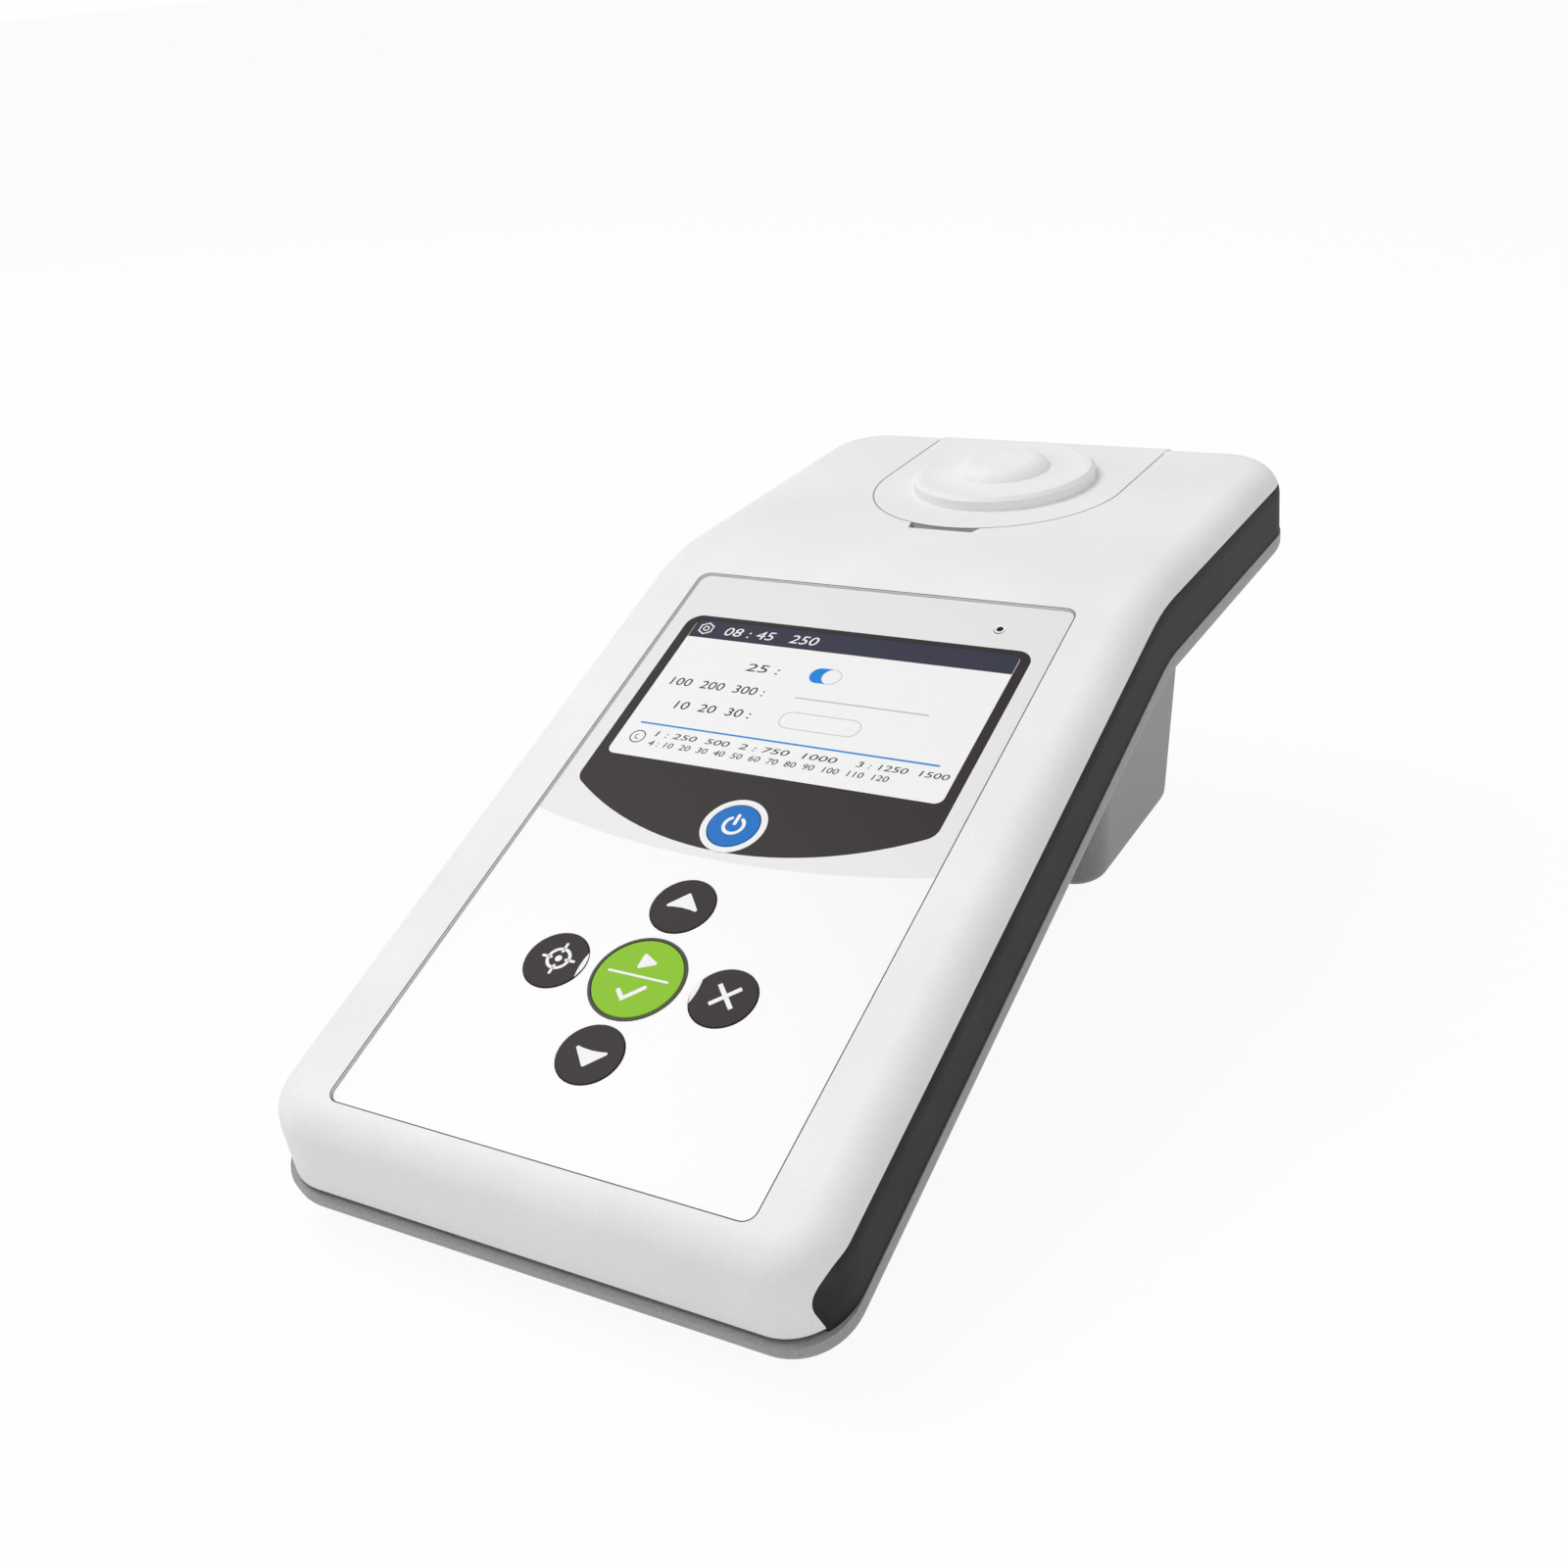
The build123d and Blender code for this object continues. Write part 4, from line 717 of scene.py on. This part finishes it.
def cross(centre, reach, width):
    """Two crossing bars as one outline."""
    half = width / 2
    places = []
    for quarter in range(4):
        turn = Matrix.Rotation(math.radians(45 + 90 * quarter), 2)
        for corner in ((reach, -half), (reach, half), (half, half)):
            places.append(tuple(Vector(centre) + turn @ Vector(corner)))
    return [places]


mark_layers = {
    "power_key": [
        [stroke(arc((0, -0.1), 1.75, 125, 415, 40), 0.62), stroke([(0, 0.25), (0, 2.1)], 0.62)],
    ],
    "up_key": [arrow(1)],
    "down_key": [arrow(-1)],
    "left_key": [
        ring((0.3, 0.2), 2.15, 1.6), ring((0.3, 0.2), 0.6, 0.01),
        *([stroke([(0.3 + 1.4 * x, 0.2 + 1.4 * y), (0.3 + 2.9 * x, 0.2 + 2.9 * y)], 0.5)]
          for x, y in ((1, 0), (0, 1), (-1, 0), (0, -1))),
    ],
    "right_key": [cross((0.2, 0.2), 2.7, 0.75)],
    "enter_key": [
        [stroke([(-5.45, 0.27), (5.2, 0.27)], 0.42)],
        [rounded([(-1.2, 1.5), (2.1, 3.1), (-1.2, 4.7)], 0.3)],
        [stroke([(-1.9, -2.9), (-0.5, -4.2), (2.1, -1.5)], 0.75)],
    ],
}
for key, layers in mark_layers.items():
    meshes = [flat_mesh(key + "_mark", layer) for layer in layers]
    lay_print(key + "_mark", meshes, finishes["mark_white"], key, key_places[key])

# %% [markdown]
# The keys beside the green one end in an arc that keeps clear of it. That bite is printed on them in white:
# it is the part of the round key that lies inside a circle about the green key's centre. Its rim stays
# inside the key's hole in the sheet, so that a pressed key still clears it.

# %% White bites on the side keys
bite_radius, side_radius = 10.7, 5.42
side_x = key_places["right_key"][0]
cut_x = (side_x ** 2 + bite_radius ** 2 - side_radius ** 2) / (2 * side_x)
bite_angle = math.degrees(math.acos(cut_x / bite_radius))
side_angle = math.degrees(math.acos((side_x - cut_x) / side_radius))
for key, way in (("left_key", 180.0), ("right_key", 0.0)):
    side = 1 if key == "right_key" else -1
    bite = arc((0.0, 0.0), bite_radius, way - bite_angle, way + bite_angle, 24)
    rim = arc((side * side_x, 0.0), side_radius, way + 180 - side_angle, way + 180 + side_angle, 24)
    lens = [(x - side * side_x, u) for x, u in bite + rim]
    white_lens = flat_mesh(key + "_bite", [lens])
    lay_print(key + "_bite", [white_lens], finishes["ring_white"], key, key_places[key])

# %% [markdown]
# Painted shade marks the seams: thin dark lines round the front sheet's recess and round the lid stand in
# for the shadow in their gaps.
# The sheet prints also cover the indicator's edge, so that only a small dot is seen. A black sheet paints
# the shade of the finger slot in front of the lid, so that it reads as dark as a deep slot does.

# %% Painted seam shade, indicator and painted finger slot shade
seam_width = 0.17
sheet_gap = 0.15
recess_corner = 2.0
recess_half = sheet_size.x / 2 / mm + sheet_gap
recess = (-recess_half, -sheet_gap, recess_half, sheet_length / mm + sheet_gap)
outwards = (-seam_width, -seam_width, seam_width, seam_width)
outer_recess = tuple(side + step for side, step in zip(recess, outwards))
# Painted shade: a thin dark line round the sheet's recess stands in for the shadow in its gap.
seam = flat_mesh("sheet_seam_painted_shade", [
    rounded_box(*outer_recess, recess_corner + seam_width), rounded_box(*recess, recess_corner),
])
lay_print("sheet_seam_painted_shade", [seam], finishes["sheet_gap_painted_shade"], "top_cover",
          place=panel_matrix(0.0, 0.0, recess_lift + mark_thickness / 2 - mark_sink))

lid_gap = 0.15
tongue = lid_half + lid_gap
bow = lid_front + lid_half
lid_seam_width = 0.22
seam_rear = lid_rear - 7.0
lid_path = [(tongue, seam_rear), *arc((0.0, bow), tongue, 0, -180, 40), (-tongue, seam_rear)]
# Painted shade: a grey line round the lid on the deck stands in for the shadow in the lid's gap.
lid_seam_painted_shade = flat_mesh("lid_seam_painted_shade", [stroke(lid_path, lid_seam_width)])
lay_print("lid_seam_painted_shade", [lid_seam_painted_shade], finishes["lid_gap_painted_shade"], "top_cover", place=deck_matrix(0.0, 0.0, 0.01))

dot_place, dot_radius, mask_radius = (25.6, 117.6), 0.62, 1.0
dot_mask = flat_mesh("indicator_mask", ring((0.0, 0.0), mask_radius, dot_radius))
lay_print("indicator_mask", [dot_mask], finishes["ring_white"], "indicator_lens", dot_place)

slot_depth = 0.7
slot_left, slot_right, slot_front, slot_back = -7.9, 7.1, lid_front - 1.7, lid_front - 0.2
slot_outline = [
    (slot_left, slot_front), (slot_right, slot_front), (slot_right, slot_back), (slot_left, slot_back),
]
# Painted shade: a black sheet on the shallow slot's floor stands in for the shadow of a deep slot.
slot_shade = flat_mesh("finger_slot_painted_shade", [slot_outline])
lay_print("finger_slot_painted_shade", [slot_shade], finishes["well_black"], "top_cover",
          place=deck_matrix(0.0, 0.0, -slot_depth))

# %% [markdown]
# The display shows a settings page: a dark header, a switch, a slider, an empty field, a blue line and two
# lines of small print. Words are left out, and plain numbers stand in their places, fitted to the same
# width.

# %% The display's picture
def fitted_numbers(text, left, right, base, height, slant=0.0):
    """Numbers stretched to reach from left to right, in mm, standing on a base line."""
    mesh = number_mesh("numbers", text, 1.0, (0.0, 0.0), slant)
    width = max(vertex.co.x for vertex in mesh.vertices)
    tall = max(vertex.co.y for vertex in mesh.vertices)
    mesh.transform(Matrix.Diagonal(((right - left) / width, height / tall, 1.0, 1.0)))
    mesh.transform(Matrix.Translation((left, base, 0.0)))
    return mesh


header_bottom, header_top, screen_side, corner = 107.2, 111.9, 31.9, 1.4
header = [[
    (-screen_side, header_bottom), (screen_side, header_bottom),
    *arc((screen_side - corner, header_top - corner), corner, 0, 90, 8),
    *arc((-screen_side + corner, header_top - corner), corner, 90, 180, 8),
]]
lay_print("display_header", [flat_mesh("header", header)], finishes["mark_header"], "display_screen")

dial_place = (-29.2, 109.6)
white_parts = [
    flat_mesh("dial", [arc(dial_place, 1.6, 30, 390, 6), arc(dial_place, 1.3, 30, 390, 6)]),
    flat_mesh("dial_dot", ring(dial_place, 0.65, 0.4)),
    fitted_numbers("08 : 45   250", -25.3, -5.8, 108.4, 2.1, 0.15),
]
lay_print("display_header_marks", white_parts, finishes["mark_white"], "display_screen", sink=-0.015)

toggle_left, toggle_right, toggle_low, toggle_high = -3.5, 2.6, 99.5, 103.2
knob_radius = (toggle_high - toggle_low) / 2
knob_middle = (toggle_right - knob_radius, toggle_low + knob_radius)
blue_parts = [
    flat_mesh("switch", [
        arc((toggle_left + knob_radius, knob_middle[1]), knob_radius, 90, 270, 16)
        + arc(knob_middle, knob_radius, 270, 90, 16)
    ]),
    flat_mesh("line", [rounded_box(-29.3, 84.62, 28.4, 84.98, 0.1)]),
]
lay_print("display_blue", blue_parts, finishes["mark_blue"], "display_screen")

grey_parts = [
    flat_mesh("knob_edge", [
        arc(knob_middle, knob_radius, -90, 90, 16) + arc(knob_middle, knob_radius - 0.16, 90, -90, 16)
    ]),
    flat_mesh("slider", [rounded_box(-3.6, 95.3, 21.9, 95.6, 0.1)]),
    flat_mesh("field", [
        rounded_box(-3.9, 88.1, 11.5, 92.1, 1.9), rounded_box(-3.74, 88.26, 11.34, 91.94, 1.75),
    ]),
]
lay_print("display_grey", grey_parts, finishes["mark_grey"], "display_screen")

black_parts = [
    fitted_numbers("25 :", -16.4, -9.5, 100.3, 1.9, 0.1),
    fitted_numbers("100  200  300 :", -29.6, -9.7, 94.7, 1.9, 0.1),
    fitted_numbers("10  20  30 :", -25.7, -9.6, 89.1, 1.9, 0.1),
    flat_mesh("info_ring", ring((-28.0, 81.4), 1.5, 1.3)),
    flat_mesh("info_hook", [stroke(arc((-27.9, 81.4), 0.55, 110, 290, 12), 0.16)]),
    fitted_numbers("1 : 250  500", -25.5, -10.0, 82.0, 1.25, 0.15),
    fitted_numbers("2 : 750  1000", -8.2, 10.7, 82.0, 1.25, 0.15),
    fitted_numbers("3 : 1250  1500", 14.2, 31.0, 82.0, 1.25, 0.15),
    fitted_numbers("4 : 10  20  30  40  50  60  70  80  90  100  110  120", -25.2, 21.2, 79.7, 1.25, 0.15),
]
lay_print("display_numbers", black_parts, finishes["mark_black"], "display_screen")

# %% [markdown]
# The chips under the main board stand on rows of small legs. A row is a rule, one leg repeated at a pitch,
# so Geometry Nodes make it: a line of points, a leg on each, and at the end real mesh with a material. Each
# use of the tree sets its own numbers by the sockets' identifiers, and the result is kept as a plain mesh.

# %% A tree that makes a row of legs
def legs_tree(metal):
    tree = bpy.data.node_groups.new("row_of_legs", "GeometryNodeTree")
    sockets = {}
    kinds = {"Count": "NodeSocketInt", "Pitch": "NodeSocketFloat", "Leg": "NodeSocketVector"}
    for label, kind in kinds.items():
        sockets[label] = tree.interface.new_socket(label, in_out="INPUT", socket_type=kind).identifier
    tree.interface.new_socket("Geometry", in_out="OUTPUT", socket_type="NodeSocketGeometry")
    given = tree.nodes.new("NodeGroupInput")
    offset = linked(tree, "ShaderNodeCombineXYZ", {"X": given.outputs["Pitch"]})
    line = linked(tree, "GeometryNodeMeshLine", {
        "Count": given.outputs["Count"], "Offset": offset.outputs["Vector"],
    })
    leg = linked(tree, "GeometryNodeMeshCube", {"Size": given.outputs["Leg"]})
    placed = linked(tree, "GeometryNodeInstanceOnPoints", {
        "Points": line.outputs["Mesh"], "Instance": leg.outputs["Mesh"],
    })
    real = linked(tree, "GeometryNodeRealizeInstances", {"Geometry": placed.outputs["Instances"]})
    painted = linked(tree, "GeometryNodeSetMaterial", {
        "Geometry": real.outputs["Geometry"], "Material": metal,
    })
    result = tree.nodes.new("NodeGroupOutput")
    tree.links.new(painted.outputs["Geometry"], result.inputs["Geometry"])
    return tree, sockets


tree, leg_sockets = legs_tree(finishes["nickel"])
print("tree inputs:", leg_sockets)


def row_of_legs(name, count, pitch, leg):
    """One row along X, centred on the origin, as a plain mesh in metres."""
    holder = bpy.data.objects.new(name, bpy.data.meshes.new(name))
    modifier = holder.modifiers.new("legs", "NODES")
    modifier.node_group = tree
    modifier[leg_sockets["Count"]] = count
    modifier[leg_sockets["Pitch"]] = pitch
    modifier[leg_sockets["Leg"]] = leg
    mesh = as_mesh(holder, name)
    mesh.transform(Matrix.Translation((-(count - 1) * pitch / 2, 0.0, 0.0)))
    return mesh


# %% Legs round the main chip
board_thickness, leg_drop = 1.6, 0.18
board_back = lift_of("main_board") - board_thickness
chip_centre, chip_half, leg_count, leg_pitch = (-14.0, 100.0), 7.0, 12, 1.0
leg_box = (0.4 * mm, 1.2 * mm, 0.3 * mm)
joined = bmesh.new()
for side in range(4):
    row = row_of_legs("chip_row", leg_count, leg_pitch * mm, leg_box)
    turn = Matrix.Rotation(math.radians(90 * side), 4, "Z")
    row.transform(turn @ Matrix.Translation((0, chip_half * mm, 0)))
    joined.from_mesh(row)
legs = bpy.data.meshes.new("chip_legs")
joined.to_mesh(legs)
joined.free()
legs.transform(panel_matrix(*chip_centre, board_back - leg_drop))
legs.materials.append(finishes["nickel"])
chip_legs = bpy.data.objects.new("chip_legs", legs)
bpy.context.collection.objects.link(chip_legs)
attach(chip_legs, nodes["main_board"]["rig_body"])
print("chip legs:", len(legs.polygons), "faces")

# %% [markdown]
# The stage is a large pale floor. To the camera it is plain white with a trace of the object's shadow: the
# Light Path node mixes a white glow into the floor for camera, glossy and transmission rays only, so the
# glow adds no light to the object. The world does the same.

# %% Floor and world
def seen_or_mirrored(tree):
    """1 for rays from the camera, from a gloss or through glass, else 0."""
    path = tree.nodes.new("ShaderNodeLightPath")
    first = linked(tree, "ShaderNodeMath", {
        0: path.outputs["Is Camera Ray"], 1: path.outputs["Is Glossy Ray"],
    }, operation="MAXIMUM")
    return linked(tree, "ShaderNodeMath", {
        0: first.outputs["Value"], 1: path.outputs["Is Transmission Ray"],
    }, operation="MAXIMUM").outputs["Value"]


floor_glow = 0.93
floor_material = bpy.data.materials.new("stage_floor")
floor_material.use_nodes = True
tree = floor_material.node_tree
tree.nodes.clear()
matt = linked(tree, "ShaderNodeBsdfDiffuse", {"Color": shade(0.9)})
glow = linked(tree, "ShaderNodeEmission", {"Color": shade(1.0), "Strength": 1.0})
amount = linked(tree, "ShaderNodeMath", {0: seen_or_mirrored(tree), 1: floor_glow}, operation="MULTIPLY")
mixed = linked(tree, "ShaderNodeMixShader", {
    0: amount.outputs["Value"], 1: matt.outputs["BSDF"], 2: glow.outputs["Emission"],
})
surface = tree.nodes.new("ShaderNodeOutputMaterial")
tree.links.new(mixed.outputs["Shader"], surface.inputs["Surface"])

bpy.ops.mesh.primitive_plane_add(size=60.0, location=(0.0, 0.0, cad_box[0][2]))
floor = bpy.context.object
floor.name = "stage_floor"
floor.data.materials.append(floor_material)

world = bpy.data.worlds.new("studio")
bpy.context.scene.world = world
world.use_nodes = True
tree = world.node_tree
tree.nodes.clear()
soft = linked(tree, "ShaderNodeBackground", {"Color": shade(1.0), "Strength": 0.56})
white = linked(tree, "ShaderNodeBackground", {"Color": shade(1.0), "Strength": 1.0})
path = tree.nodes.new("ShaderNodeLightPath")
mixed = linked(tree, "ShaderNodeMixShader", {
    0: path.outputs["Is Camera Ray"], 1: soft.outputs["Background"], 2: white.outputs["Background"],
})
surface = tree.nodes.new("ShaderNodeOutputWorld")
tree.links.new(mixed.outputs["Shader"], surface.inputs["Surface"])
print("floor at", round(cad_box[0][2] / mm, 2), "mm")

# %% [markdown]
# Three large soft lamps light the instrument. The main one hangs high over its left side, clear of the
# panel's mirror direction, so the dark prints stay dark. The keypad and the deck are brightest, the front
# rounding falls off towards grey and the right side stays darker, as in the photograph. A lamp is aimed by
# turning its own -Z axis towards a place.

# %% Lamps
def soft_lamp(name, place, target, size, power):
    data = bpy.data.lights.new(name, "AREA")
    data.shape = "DISK"
    data.size = size
    data.energy = power
    lamp = bpy.data.objects.new(name, data)
    bpy.context.collection.objects.link(lamp)
    lamp.location = place
    lamp.rotation_euler = (Vector(target) - Vector(place)).to_track_quat("-Z", "Y").to_euler()
    return lamp


middle = (Vector(cad_box[0]) + Vector(cad_box[1])) / 2
soft_lamp("main_lamp", (-0.75, -0.1, 1.35), middle, 0.9, 10.7)
soft_lamp("front_lamp", (-0.3, -1.2, 0.9), middle, 0.8, 1.2)
soft_lamp("side_lamp", (1.3, 0.1, 0.5), middle, 0.7, 1.0)
print("lamps: 3")

# %% [markdown]
# The camera stands where the photograph was taken from: in front, to the right and above, a third of a
# metre away. Its place, the point it looks at, its tilt about its own axis and the lens came from fitting
# the panel's corners, the seams and the rims to the photograph.

# %% Camera
camera_place = Vector((154.2, -263.3, 176.5)) * mm
camera_target = Vector((0.0, -20.0, 47.9)) * mm
camera_roll = -5.35
camera_data = bpy.data.cameras.new("photograph")
camera_data.lens = 43.36
camera_data.sensor_width = 36.0
camera_data.clip_start = 0.01
camera = bpy.data.objects.new("photograph", camera_data)
bpy.context.collection.objects.link(camera)
look = (camera_target - camera_place).to_track_quat("-Z", "Y").to_matrix().to_4x4()
roll = Matrix.Rotation(math.radians(camera_roll), 4, "Z")
camera.matrix_world = Matrix.Translation(camera_place) @ look @ roll
bpy.context.scene.camera = camera
bpy.context.scene.view_settings.view_transform = "Standard"
print("camera distance:", round((camera_target - camera_place).length, 3), "m")
